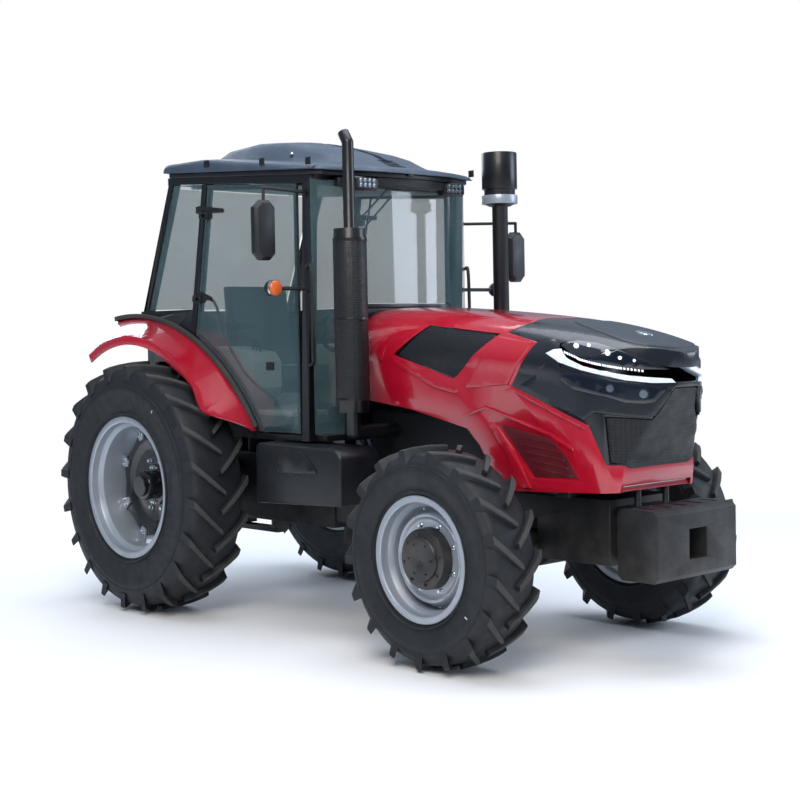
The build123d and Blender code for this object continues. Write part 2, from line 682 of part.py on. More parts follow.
def crown(half, foot, top, drop, run):
    """A long bar along X whose top is arched and whose upper edges are cut away."""
    section = [(-half, foot), (half, foot), (half, top - drop)]
    section += [(half - run, top - drop * 0.45), (half * 0.6, top)]
    section += [(-half * 0.6, top), (-half + run, top - drop * 0.45), (-half, top - drop)]
    plane = Plane((BACK_X - 200, 0, 0), x_dir=(0, 1, 0), z_dir=(1, 0, 0))
    return extrude(plane * Polygon(*section, align=None), ROOF_FRONT - BACK_X + 400, dir=(1, 0, 0))


def roof_header():
    """Dark band between the rails and the roof shell, with the front header under the lip."""
    side = [(ROOF_REAR, rail_z(ROOF_REAR) + RAIL_H), (ROOF_FRONT, rail_z(ROOF_FRONT) + RAIL_H)]
    side += [(ROOF_FRONT, roof_bottom(ROOF_FRONT)), (ROOF_REAR, roof_bottom(ROOF_REAR))]
    band = side_plate(side, -ROOF_HALF, ROOF_HALF) & plan_plate(roof_plan(HEADER_IN), 2500, 3200)
    brow = block(A_TOP[0], 400, -500, 500, rail_z(ROOF_CORNER) - 14, rail_z(ROOF_FRONT) + RAIL_H + 2)
    brow &= plan_plate(roof_plan(HEADER_IN + 10), 2500, 3200)
    brow -= upright(screen_radius() + GAP, screen_centre(), 0, 2500, rail_z(A_TOP[0] - 59) + 10 + GAP)
    for side in (-1, 1):
        brow -= work_lamp_box(side, GAP)
    return band + brow


def fender():
    """Right fender: a skin from the cab seam out into the lip that runs along its outer edge."""
    near_y = -CAB_HALF - GAP
    start = math.degrees(math.asin((FLOOR_TOP + 20 - SEAM_CENTRE[1]) / SEAM_R))
    middle = (start + FENDER_REAR_ANGLE) / 2
    near = [(x, near_y, z) for x, z in (seam_point(0, a) for a in (start, middle, FENDER_REAR_ANGLE))]
    edge = [(x, y + FENDER_T / 2, z - FENDER_BEAD) for x, y, z, lip in FENDER_EDGE]
    top = Face.make_surface_from_curves(ThreePointArc(*near).edge(), Spline(*edge).edge())
    skin = extrude(top, FENDER_T, dir=FENDER_DROP)
    upper = [(x, y, z) for x, y, z, lip in FENDER_EDGE]
    lower = []
    for x, y, z, lip in FENDER_EDGE:
        away = math.hypot(x - REAR_AXLE_X, z - REAR_TYRE_R)
        share = (away - lip) / away
        lower.append((REAR_AXLE_X + (x - REAR_AXLE_X) * share, y, REAR_TYRE_R + (z - REAR_TYRE_R) * share))
    rim_face = Face.make_surface_from_curves(Spline(*upper).edge(), Spline(*lower).edge())
    return skin + extrude(rim_face, FENDER_T, dir=(0, 1, 0))


# Doors and rear window
def door_outline(inset):
    """Door outline: post side, roof side, front, sill and the arc over the fender."""
    extra = SEAM_BAND + DOOR_GAP + inset
    z0 = FLOOR_TOP + DOOR_GAP + inset
    top_rear = on_line(B_TOP, B_FOOT, rail_z(B_TOP[0] + 24)) + DOOR_GAP + inset
    points = [(top_rear, rail_z(top_rear) - 8 - inset), (DOOR_FRONT - inset, rail_z(DOOR_FRONT) - 8 - inset)]
    points.append((DOOR_FRONT - 6 - inset, z0))
    start = math.degrees(math.asin((z0 - SEAM_CENTRE[1]) / (SEAM_R + extra)))
    points += arc_points(extra, start, 62.5, 12)
    z2 = points[-1][1] + 24
    points.append((on_line(B_TOP, B_FOOT, z2) + DOOR_GAP + inset, z2))
    return points


def door_glass():
    """Right door pane."""
    return side_plate(door_outline(0), -CAB_HALF - 2, -CAB_HALF - 2 + GLASS_T)


def door_axis(z):
    """Point of the door's hinge line at height z, and the line's direction."""
    x = on_line(B_TOP, B_FOOT, z) - 4
    return (x, -CAB_HALF - DOOR_PIN_OUT, z), (B_TOP[0] - B_FOOT[0], 0, B_TOP[1] - B_FOOT[1])


def door_hinges():
    """Right door's two hinges: what the post carries, and what the door carries."""
    fixed = None
    moving = None
    for z in DOOR_HINGE_Z:
        point, line = door_axis(z)
        still, swing = hinge(point, line, (-20, DOOR_PIN_OUT + 5, 0), (60, 8, 0))
        x = point[0]
        pad = -CAB_HALF - 2 - HINGE_PAD_T
        swing += block(x + 34, x + 96, pad, pad + HINGE_PAD_T, z - 26, z + 26)
        swing += block(x + 34, x + 64, -CAB_HALF - DOOR_PIN_OUT + 2, pad, z - 21, z + 21)
        fixed = still if fixed is None else fixed + still
        moving = swing if moving is None else moving + swing
    return fixed, moving


def door_frame():
    """Right door's edge frame behind its glass, its hinge leaves and its handle."""
    y0 = -CAB_HALF - 2 + GLASS_T
    outer = door_outline(3)
    inner = door_outline(30)
    last = len(outer) - 1
    ends = [0, 1, 2, *range(3, last, DOOR_ARC_STEP), last, last + 1]
    bars = []
    for first, stop in zip(ends, ends[1:]):
        places = [k % (last + 1) for k in range(first, stop + 1)]
        edge = [outer[k] for k in places] + [inner[k] for k in reversed(places)]
        bars.append(side_plate(edge, y0, y0 + 18))
    return Compound(children=[*bars, *door_hinges()[1].solids()])


def window_axis():
    """Rear window's hinge line, as x and z."""
    return (C_TOP[0] - 61 - 16, rail_z(C_TOP[0]) + 6)


def window_hinges():
    """Rear window's two hinges: what the roof rail carries, and what the pane carries."""
    x, z = window_axis()
    fixed = None
    moving = None
    for y in (-420, 420):
        still, swing = hinge((x, y, z), (0, 1, 0), (17, 0, 0), (2, 0, -40), 5.0)
        fixed = still if fixed is None else fixed + still
        moving = swing if moving is None else moving + swing
    return fixed, moving


def rear_window():
    """Rear window pane with its hinge leaves."""
    x, z = window_axis()
    top = (x - 2, z - 24)
    foot = (on_line(C_TOP, C_FOOT, BELT_TOP + 12) - POST_W - 14, BELT_TOP + 12)
    t = GLASS_T
    outline = [top, (top[0] + t, top[1]), (foot[0] + t, foot[1]), foot]
    pane = side_plate(outline, -CAB_HALF + 66, CAB_HALF - 66)
    return pane + window_hinges()[1]


# Seat and controls
def seat():
    """Sprung seat: base, cushion and back."""
    base = block(SEAT_X - 200, SEAT_X + 70, -150, 150, DECK_TOP, 1500)
    base = base + block(SEAT_X - 230, SEAT_X + 170, -250, 250, 1500, 1600)
    lean = [(-310, 1560), (-190, 1560), (-280, 2150), (-370, 2150)]
    back = side_plate([(SEAT_X + x, z) for x, z in lean], -240, 240)
    return base + back


def steering_column():
    """Console, column and steering wheel."""
    console = block(WHEEL_AT[0] + 208, COWL_X - COWL_T, -150, 150, FLOOR_TOP, 1700)
    hub = (WHEEL_AT[0], 0, WHEEL_AT[1])
    column = rod((hub[0] + 228, 0, 1660), hub, 34)
    lean = Pos(*hub) * Rot(0, -50, 0)
    wheel = lean * Torus(190, 15)
    for k in range(3):
        wheel += lean * Rot(0, 0, 120 * k) * Pos(95, 0, 0) * Box(190, 26, 12)
    return console + column + wheel


# Stacks
def muffler():
    """Upright muffler with its tailpipe and elbow."""
    x, y = MUFFLER_XY
    can = upright(MUFFLER_R, x, y, *MUFFLER_Z)
    knee = STACK_TOP - 75
    pipe = upright(TAILPIPE_R, x, y, MUFFLER_Z[1] - 5, knee) + Pos(x, y, knee) * Sphere(TAILPIPE_R)
    pipe += rod((x, y, knee), (x - 40, y, STACK_TOP - 12), TAILPIPE_R)
    foot = upright(45, x, y, 1220, MUFFLER_Z[0] + 5)
    elbow = across(45, x, 1220, y, -ENGINE_HALF)
    return can + pipe + foot + elbow + Pos(x, y, 1220) * Sphere(45)


def intake_stack():
    """Air intake with its cyclone bowl."""
    x, y = INTAKE_XY
    pipe = upright(INTAKE_R, x, y, 1280, BOWL_Z[0] + 5)
    bowl = upright(BOWL_R, x, y, BOWL_Z[0] + 96, BOWL_Z[1])
    bowl += upright(BOWL_R - 14, x, y, BOWL_Z[0] + 30, BOWL_Z[0] + 96)
    bowl += upright(BOWL_R - 40, x, y, BOWL_Z[0], BOWL_Z[0] + 30)
    elbow = across(INTAKE_R, x, 1280, ENGINE_HALF, y)
    return pipe + bowl + elbow + Pos(x, y, 1280) * Sphere(INTAKE_R)


def outrigger(base, knee, tip, radius):
    """A bent arm that stands on a round foot on the cab's side."""
    side = math.copysign(1, base[1])
    foot = across(2 * radius, base[0], base[2], base[1], base[1] + side * 12)
    start = (base[0], base[1] + side * 9, base[2])
    return foot + rod(start, knee, radius) + Pos(*knee) * Sphere(radius) + rod(knee, tip, radius)


def mirror_head(middle, width, height, depth):
    """A mirror housing with cut corners, its glass side towards the rear."""
    x, y, z = middle
    cut = width * 0.28
    half = width / 2
    tall = height / 2
    outline = [(half - cut, -tall), (half, -tall + cut), (half, tall - cut), (half - cut, tall)]
    outline += [(-a, b) for a, b in reversed(outline)]
    plane = Plane((x - depth / 2, y, z), x_dir=(0, 1, 0), z_dir=(1, 0, 0))
    head = extrude(plane * Polygon(*outline, align=None), depth, dir=(1, 0, 0))
    return chamfer(head.faces().sort_by(Axis.X)[-1].edges(), depth * 0.35)


def mirrors():
    """Mirror housings on their arms, one each side, and the bracket that carries the left one."""
    right = mirror_head((118, -1035, 2421), 150, 350, 52)
    right += outrigger((A_TOP[0] - 44, -CAB_HALF, 2668), (118, -1035, 2668), (118, -1035, 2590), 10)
    left = mirror_head((273, 950, 2295), 150, 330, 52)
    left += outrigger((A_TOP[0] - 44, CAB_HALF, 2520), (273, 950, 2520), (273, 950, 2450), 10)
    return Compound(children=[right, left])


def work_lamp_box(side, extra):
    """Block of a work lamp in the roof's front corner; extra grows it to the pocket that holds it."""
    x0, x1, y, half, high = WORK_LAMP
    top = rail_z(x1) + RAIL_H - 2
    return block(x0 - extra, x1 + extra, side * y - half - extra, side * y + half + extra, top - high - extra, top)


def lamps():
    """Work lamps under the roof's brow, turn lamps on their arms and tail lamps on the fenders."""
    items = []
    for side in (-1, 1):
        items.append(chamfer(work_lamp_box(side, 0).edges().filter_by(Axis.Y), 16))
        base = (A_FOOT[0] + 10, side * CAB_HALF, 2085)
        arm = outrigger(base, (60, side * 850, 2085), (75, side * 925, 2085), 12)
        items.append(arm + Pos(75, side * 955, 2085) * Sphere(48))
    return Compound(children=items)


# Hood
def crown_section(x, top, half, deep):
    """Cross-section of the hood at x, its sides leaning in to the foot."""
    plane = Plane((x, 0, 0), x_dir=(0, 1, 0), z_dir=(1, 0, 0))
    low = 880
    right = [(0.72 * half, top - 0.13 * deep), (0.94 * half, top - 0.42 * deep), (half, top - deep)]
    left = [(-y, z) for y, z in reversed(right)]
    curve = Spline(*left, (0, top), *right)
    foot = half - 32
    base = Polyline((half, top - deep), (foot, low), (-foot, low), (-half, top - deep))
    return plane * make_face(Curve() + [curve, base])


def hood_form(inset):
    """The hood's outer form, or with an inset its hollow."""
    stations = [
        (180, 1953, 428, 330), (771, 1942, 432, 320), (1332, 1894, 424, 300),
        (1773, 1838, 408, 290), (2100, 1768, 392, 270), (2420, 1655, 372, 240),
    ]
    faces = [crown_section(x, top - inset, half - inset, deep).face() for x, top, half, deep in stations]
    form = loft(faces)
    rear = 400 if inset else 0
    drop = 300 if inset else 0
    side = [(HOOD_REAR_TOP - rear, 2050), (HOOD_REAR_TOP - rear, 1960), (HOOD_REAR_FOOT - rear, 1404 - drop)]
    arch = [(678, 1360), (941, 1304), (1136, 1261), (1229, 1169), (1311, 1037), (1447, 923), (2150, 950)]
    side += [(x, z - drop) for x, z in arch]
    prow = [(2170, 1060), (2166, 1090), (2352, 1499), (NOSE_X, 1584)]
    prow += [(NOSE_X - 6, 1672), (2330, 1722), (2300, 2050)]
    side += [(x - inset, z) for x, z in prow]
    form &= side_plate(side, -600, 600)
    half = [(-400, 600), (1500, 600), (1740, 420), (1950, 396), (2080, 358)]
    half += [(2164, 303), (2270, 222), (2350, 110)]
    plan = [(x - (inset if x > 2000 else 0), y - inset) for x, y in half] + [(NOSE_X + 3 - inset, 0)]
    plan += [(x, -y) for x, y in reversed(plan[:-1])]
    return form & plan_plate(plan, 400, 2200)


def nose_region():
    """Region of the black nose in side view, through the whole hood."""
    seam = [(1420, 1798), (1521, 1853), (1560, 2100), (2600, 2100), (2600, 1088)]
    seam += [(2094, 1092), (2001, 1303), (1487, 1506), (1652, 1743)]
    return side_plate(seam, -700, 700)


def lens_region():
    """Region of the head lamps in side view."""
    edge = [(1738, 1692), (1800, 1735), (2050, 1722), (2330, 1604)]
    edge += [(2420, 1590), (2420, 1512), (2103, 1566), (1900, 1622)]
    return side_plate(edge, -700, 700)


def grille_region():
    """Shield-shaped region of the grille, seen from the front."""
    plane = Plane((2010, 0, 0), x_dir=(0, 1, 0), z_dir=(1, 0, 0))
    right = [(-100, 1497), (-205, 1335), (-352, 1350), (-340, 1098)]
    shield = right + [(-y, z) for y, z in reversed(right)]
    return extrude(plane * Polygon(*shield, align=None), 600, dir=(1, 0, 0))


def side_vent():
    """Region of the mesh window in the hood's side."""
    return side_plate([(815, 1849), (1375, 1792), (1046, 1542), (562, 1681)], -700, 700)


def recess_region():
    """Region of the sunk louvre field in the hood's skirt."""
    return side_plate([(1308, 1301), (1738, 1242), (1937, 1006), (1610, 1000)], -700, 700)


def hood_pieces():
    """Hood panels: red shell, black nose, lamps, and the mesh of grille and side windows."""
    outer = hood_form(0)
    shell = outer - hood_form(HOOD_T)
    bare = hood_form(5)
    mesh_skin = bare - hood_form(HOOD_T)
    nose = shell & nose_region()
    lamps_ = nose & lens_region()
    grille = mesh_skin & grille_region() & nose_region()
    vents = mesh_skin & side_vent()
    red = shell - nose_region() - side_vent() - recess_region() + (mesh_skin & recess_region())
    stop = block(2095, 2140, -300, 300, HOOD_STOP_Z + GAP, HOOD_STOP_Z + 30)
    red += stop
    pads = hood_hinge()[1]
    red += pads + other_side(pads)
    nose = nose - lens_region() - grille_region()
    mesh = Compound(children=[grille, vents])
    return {"hood_shell": red, "hood_nose": nose, "hood_lamps": lamps_, "hood_mesh": mesh}


# Linkage
def knee_point():
    """The right lower link's point under its lift rod."""
    x = LINK_PIVOT[0] + LINK_KNEE * (LINK_BALL[0] - LINK_PIVOT[0])
    y = -LINK_PIVOT_Y - LINK_KNEE * (LINK_BALL_Y - LINK_PIVOT_Y)
    z = LINK_PIVOT[1] + LINK_KNEE * (LINK_BALL[1] - LINK_PIVOT[1])
    return (x, y, z)


def lower_links():
    """The pair of lower links with a ball eye at each end."""
    start = (LINK_PIVOT[0], -LINK_PIVOT_Y, LINK_PIVOT[1])
    end = (LINK_BALL[0], -LINK_BALL_Y, LINK_BALL[1])
    arm = bar(start, end, 22, 70)
    arm += across(38, start[0], start[2], start[1] - 18, start[1] + 18)
    arm += across(38, end[0], end[2], end[1] - 22, end[1] + 22)
    arm -= across(LINK_EYE_R, end[0], end[2], end[1] - 30, end[1] + 30)
    arm -= across(LINK_EYE_R + RUN, start[0], start[2], start[1] - 30, start[1] + 30)
    return both(arm)


def lift_arms():
    """Rockshaft with its two arms and their pins."""
    x, z = ROCK_XZ
    shaft = across(ROCK_R, x, z, -ARM_Y - 20, ARM_Y + 20)
    arm = bar((x, -ARM_Y, z), (ARM_TIP[0], -ARM_Y, ARM_TIP[1]), 28, 66)
    arm += across(48, x, z, -ARM_Y - 20, -ARM_Y + 20)
    arm += across(34, ARM_TIP[0], ARM_TIP[1], -ARM_Y - 14, -ARM_Y + 14)
    arm += across(ARM_PIN_R, ARM_TIP[0], ARM_TIP[1], -ROD_Y - 12, -ARM_Y)
    return shaft + arm + other_side(arm)


def lift_rods():
    """Lift rods that hang from the arms' pins beside the lower links."""
    x, y, z = knee_point()
    top = (ARM_TIP[0], -ROD_Y, ARM_TIP[1])
    low = (x, y + ROD_SIDE, z)
    bar_ = rod(top, low, 15)
    bar_ += across(30, top[0], top[2], top[1] - 11, top[1] + 11)
    bar_ += across(30, low[0], low[2], low[1] - 9, low[1] + 9)
    bar_ -= across(ARM_PIN_R + RUN, top[0], top[2], top[1] - 20, top[1] + 20)
    return both(bar_)


def top_link():
    """Top link, stowed upright in its hook behind the cab."""
    x = CASE_REAR - 74
    eye_x, eye_z = TOP_EYE
    link = rod((x, 0, 957), (eye_x, 0, eye_z), 17)
    link += across(32, x, 957, -26, 26)
    link += across(30, eye_x, eye_z, -22, 22)
    link -= across(TOP_EYE_R, eye_x, eye_z, -30, 30)
    return link


def drawbar():
    """Drawbar under the housing, with its hangers."""
    beam = block(-2080, -1100, -40, 40, DRAWBAR_Z - 18, DRAWBAR_Z + 18)
    beam -= upright(DRAWBAR_PIN_R, -2030, 0, DRAWBAR_Z - 30, DRAWBAR_Z + 30)
    beam += block(-1540, -1500, -90, 90, DRAWBAR_Z + 18, CASE_BOTTOM)
    return beam + block(-1140, -1100, -60, 60, DRAWBAR_Z + 18, CASE_BOTTOM)


def pto_shaft():
    """Rear power take-off shaft."""
    shaft = along(PTO_R, 0, PTO_Z, CASE_REAR - 90, CASE_REAR + 50)
    return shaft + along(PTO_R + 6, 0, PTO_Z, CASE_REAR + 2, CASE_REAR + 50)


def all_pieces():
    """Every piece by name."""
    right_rear = Pos(REAR_AXLE_X, -REAR_HALF_TRACK, REAR_TYRE_R)
    right_front = Pos(FRONT_AXLE_X, -FRONT_HALF_TRACK, FRONT_TYRE_R)
    rear = (REAR_TYRE_R, REAR_TYRE_W, REAR_FLANGE_R, REAR_SEAT_R, REAR_RIM_W, REAR_LUG_DEPTH, REAR_LUGS)
    front = (FRONT_TYRE_R, FRONT_TYRE_W, FRONT_FLANGE_R, FRONT_SEAT_R, FRONT_RIM_W)
    front += (FRONT_LUG_DEPTH, FRONT_LUGS)
    paired = {
        "rear_right_tyre": right_rear * tyre(*rear),
        "rear_right_rim": right_rear * rear_rim(),
        "rear_right_hub": right_rear * rear_hub(),
        "front_right_tyre": right_front * tyre(*front),
        "front_right_rim": right_front * front_rim(),
        "front_right_hub": right_front * front_hub(),
        "right_knuckle": knuckle(),
        "right_door_glass": door_glass(),
        "right_door_frame": door_frame(),
    }
    pieces = {}
    for name, shape in paired.items():
        pieces[name] = shape
        pieces[name.replace("right", "left")] = other_side(shape)
    single = (
        transmission_housing, engine_block, radiator, front_frame, front_axle, drive_shaft, front_weights,
        fuel_tanks, cab_frame, cab_floor, cab_cowl, cab_glass, cab_roof, roof_header, rear_window, seat,
        steering_column, muffler, intake_stack, mirrors, lamps, lower_links, lift_arms, lift_rods, top_link,
        drawbar, pto_shaft,
    )
    for make in single:
        pieces[make.__name__] = make()
    pieces["fenders"] = both(fender())
    pieces.update(hood_pieces())
    return pieces


os.makedirs("parts", exist_ok=True)
for node, shape in all_pieces().items():
    export_step(shape, f"parts/{node}.step")
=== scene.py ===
import bpy
import bmesh
import math
from mathutils import Matrix, Vector
from mathutils.bvhtree import BVHTree


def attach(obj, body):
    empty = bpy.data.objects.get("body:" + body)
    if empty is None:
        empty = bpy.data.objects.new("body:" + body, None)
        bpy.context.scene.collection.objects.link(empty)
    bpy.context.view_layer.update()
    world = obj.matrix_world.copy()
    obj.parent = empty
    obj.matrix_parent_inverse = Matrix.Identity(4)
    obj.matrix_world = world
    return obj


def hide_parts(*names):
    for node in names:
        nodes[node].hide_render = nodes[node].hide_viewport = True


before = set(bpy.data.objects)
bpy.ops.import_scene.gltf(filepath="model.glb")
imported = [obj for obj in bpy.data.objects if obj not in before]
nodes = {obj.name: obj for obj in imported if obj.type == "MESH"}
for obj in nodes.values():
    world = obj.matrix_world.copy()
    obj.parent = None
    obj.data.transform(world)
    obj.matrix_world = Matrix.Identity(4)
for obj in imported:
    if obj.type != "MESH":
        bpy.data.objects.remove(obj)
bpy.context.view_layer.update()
MM = 0.001


# Colours and shader nodes
def lin(code, alpha=1.0):
    """A linear colour from an sRGB hex code."""
    parts = [int(code[i:i + 2], 16) / 255 for i in (1, 3, 5)]
    return tuple(c / 12.92 if c <= 0.04045 else ((c + 0.055) / 1.055) ** 2.4 for c in parts) + (alpha,)


def add(tree, kind, inputs=None, **fields):
    """One node: fields are set first, then each input gets a value or a link."""
    made = tree.nodes.new(kind)
    for key, value in fields.items():
        setattr(made, key, value)
    for key, value in (inputs or {}).items():
        if isinstance(value, bpy.types.NodeSocket):
            tree.links.new(value, made.inputs[key])
        else:
            made.inputs[key].default_value = value
    return made


def material(name):
    """A new material with its tree, shader and object coordinates."""
    mat = bpy.data.materials.new(name)
    mat.use_nodes = True
    tree = mat.node_tree
    tree.nodes.clear()
    shader = add(tree, "ShaderNodeBsdfPrincipled")
    out = add(tree, "ShaderNodeOutputMaterial", {"Surface": shader.outputs["BSDF"]})
    out.location = (400, 0)
    place = add(tree, "ShaderNodeTexCoord").outputs["Object"]
    return mat, tree, shader, place


def noise(tree, place, size_mm, detail=3.0, rough=0.5):
    """Noise whose blotches are about size_mm across."""
    made = add(tree, "ShaderNodeTexNoise", {"Vector": place, "Scale": 500.0 / size_mm, "Detail": detail,
            "Roughness": rough})
    return made.outputs["Fac"]


def span(tree, value, low, high, to_low=0.0, to_high=1.0):
    """Maps a value's span onto another, clamped."""
    inputs = {"Value": value, "From Min": low, "From Max": high, "To Min": to_low, "To Max": to_high}
    return add(tree, "ShaderNodeMapRange", inputs).outputs["Result"]


def mixed(tree, factor, a, b):
    """A colour between a and b."""
    made = add(tree, "ShaderNodeMix", data_type="RGBA")
    for index, value in ((0, factor), (6, a), (7, b)):
        if isinstance(value, bpy.types.NodeSocket):
            tree.links.new(value, made.inputs[index])
        else:
            made.inputs[index].default_value = value
    return made.outputs[2]


def maths(tree, operation, a, b=0.0):
    """The result of one sum."""
    return add(tree, "ShaderNodeMath", {0: a, 1: b}, operation=operation).outputs[0]


def bump(tree, shader, height, depth_mm, strength=1.0):
    """Gives a shader the relief of a height pattern, depth_mm deep."""
    made = add(tree, "ShaderNodeBump", {"Height": height, "Strength": strength, "Distance": depth_mm * MM})
    tree.links.new(made.outputs["Normal"], shader.inputs["Normal"])


def low_dust(tree, place, top, foot=0.0):
    """Dust that thickens from height top down to foot, broken up by noise."""
    split = add(tree, "ShaderNodeSeparateXYZ", {"Vector": place})
    fall = span(tree, split.outputs["Z"], foot, top, 1.0, 0.0)
    patch = span(tree, noise(tree, place, 60, 5), 0.35, 0.7)
    return maths(tree, "MULTIPLY", fall, patch)


def paint(name, code, rough, coat=0.0, metal=0.0, dust=0.25, peel=0.04, peel_mm=4.0, dust_top=1.3):
    """Sprayed paint: faint orange peel, slow changes of tone, road dust low down."""
    mat, tree, shader, place = material(name)
    base = lin(code)
    deep = tuple(c * 0.86 for c in base[:3]) + (1.0,)
    tone = mixed(tree, noise(tree, place, 240, 2), deep, base)
    dirt = low_dust(tree, place, dust_top)
    dirt = maths(tree, "MULTIPLY", dirt, dust)
    colour = mixed(tree, dirt, tone, lin("#8d857b"))
    tree.links.new(colour, shader.inputs["Base Color"])
    smear = span(tree, noise(tree, place, 35, 4), 0.3, 0.75, rough * 0.85, rough * 1.25)
    tree.links.new(maths(tree, "ADD", smear, dirt), shader.inputs["Roughness"])
    shader.inputs["Metallic"].default_value = metal
    shader.inputs["Coat Weight"].default_value = coat
    shader.inputs["Coat Roughness"].default_value = 0.05
    bump(tree, shader, noise(tree, place, peel_mm, 2), peel)
    return mat


def plastic(name, code, rough, grain_mm=1.2, grain=0.12):
    """Moulded plastic or rubber with a fine grain."""
    mat, tree, shader, place = material(name)
    base = lin(code)
    worn = tuple(min(1.0, c * 1.25 + 0.004) for c in base[:3]) + (1.0,)
    tone = mixed(tree, span(tree, noise(tree, place, 90, 4), 0.35, 0.7), base, worn)
    tree.links.new(tone, shader.inputs["Base Color"])
    tree.links.new(span(tree, noise(tree, place, 28, 4), 0.3, 0.7, rough * 0.85, rough * 1.15),
            shader.inputs["Roughness"])
    bump(tree, shader, noise(tree, place, grain_mm, 2), grain)
    return mat


def casting(name, code):
    """Painted cast iron: sandy skin with dust low down."""
    mat, tree, shader, place = material(name)
    sand = noise(tree, place, 2.5, 4)
    dirt = maths(tree, "MULTIPLY", low_dust(tree, place, 1.2), 0.35)
    tree.links.new(mixed(tree, dirt, lin(code), lin("#6f675d")), shader.inputs["Base Color"])
    tree.links.new(span(tree, sand, 0.3, 0.7, 0.38, 0.6), shader.inputs["Roughness"])
    bump(tree, shader, sand, 0.5, 0.8)
    return mat


def bare_metal(name, code, rough, line_mm=0.6):
    """Turned or drawn metal with fine tool lines."""
    mat, tree, shader, place = material(name)
    stretch = add(tree, "ShaderNodeMapping", {"Vector": place, "Scale": (1.0, 1.0, 12.0)}).outputs["Vector"]
    lines = noise(tree, stretch, line_mm * 8, 3)
    tree.links.new(mixed(tree, lines, lin(code), tuple(c * 0.8 for c in lin(code)[:3]) + (1.0,)),
            shader.inputs["Base Color"])
    tree.links.new(span(tree, lines, 0.3, 0.7, rough * 0.8, rough * 1.3), shader.inputs["Roughness"])
    shader.inputs["Metallic"].default_value = 1.0
    bump(tree, shader, lines, 0.03)
    return mat


def glass(name, code, alpha, rough=0.03):
    """Tinted safety glass that lets light through, with faint smears."""
    mat, tree, shader, place = material(name)
    tree.links.new(mixed(tree, noise(tree, place, 400, 2), lin(code), lin("#6f9298")),
            shader.inputs["Base Color"])
    smear = span(tree, noise(tree, place, 120, 5), 0.45, 0.8, rough, rough + 0.08)
    tree.links.new(smear, shader.inputs["Roughness"])
    shader.inputs["Alpha"].default_value = alpha
    shader.inputs["Specular IOR Level"].default_value = 1.0
    shader.inputs["Coat Weight"].default_value = 1.0
    shader.inputs["Coat Roughness"].default_value = 0.01
    mat.surface_render_method = "BLENDED"
    return mat


def honeycomb(name, code, cell_mm, axes):
    """Wire mesh or perforated sheet: holes of cell_mm in staggered rows, seen along one axis, painted
    near-black as painted shade of the space behind them.
    """
    mat, tree, shader, place = material(name)
    split = add(tree, "ShaderNodeSeparateXYZ", {"Vector": place})
    flat = add(tree, "ShaderNodeCombineXYZ", {"X": split.outputs[axes[0]],
            "Y": split.outputs[axes[1]]}).outputs["Vector"]
    cells = add(tree, "ShaderNodeTexVoronoi", {"Vector": flat, "Scale": 1000.0 / cell_mm,
            "Randomness": 0.0},
                voronoi_dimensions="2D").outputs["Distance"]
    hole = span(tree, cells, 0.28, 0.36, 1.0, 0.0)
    # holes painted near-black: painted shade standing in for the dark space behind the mesh
    tree.links.new(mixed(tree, hole, lin(code), lin("#010204")), shader.inputs["Base Color"])
    tree.links.new(span(tree, noise(tree, place, 30, 4), 0.3, 0.7, 0.4, 0.6), shader.inputs["Roughness"])
    bump(tree, shader, maths(tree, "MULTIPLY", hole, -1.0), 2.0)
    return mat


def weave(name, code, thread_mm):
    """Woven seat cloth."""
    mat, tree, shader, place = material(name)
    warp = add(tree, "ShaderNodeTexWave", {"Vector": place, "Scale": 157.0 / thread_mm},
            bands_direction="X").outputs["Fac"]
    weft = add(tree, "ShaderNodeTexWave", {"Vector": place, "Scale": 157.0 / thread_mm},
            bands_direction="Y").outputs["Fac"]
    cloth = maths(tree, "MAXIMUM", warp, weft)
    tree.links.new(mixed(tree, cloth, lin("#0b0d10"), lin(code)), shader.inputs["Base Color"])
    shader.inputs["Roughness"].default_value = 0.85
    shader.inputs["Sheen Weight"].default_value = 0.3
    bump(tree, shader, cloth, 0.4)
    return mat


def glowing(name, code, strength):
    """A lit lamp element behind its lens."""
    mat, tree, shader, place = material(name)
    tree.links.new(mixed(tree, noise(tree, place, 12, 1), lin(code), lin("#ffffff")),
            shader.inputs["Base Color"])
    shader.inputs["Emission Color"].default_value = lin(code)
    shader.inputs["Emission Strength"].default_value = strength
    shader.inputs["Roughness"].default_value = 0.25
    return mat


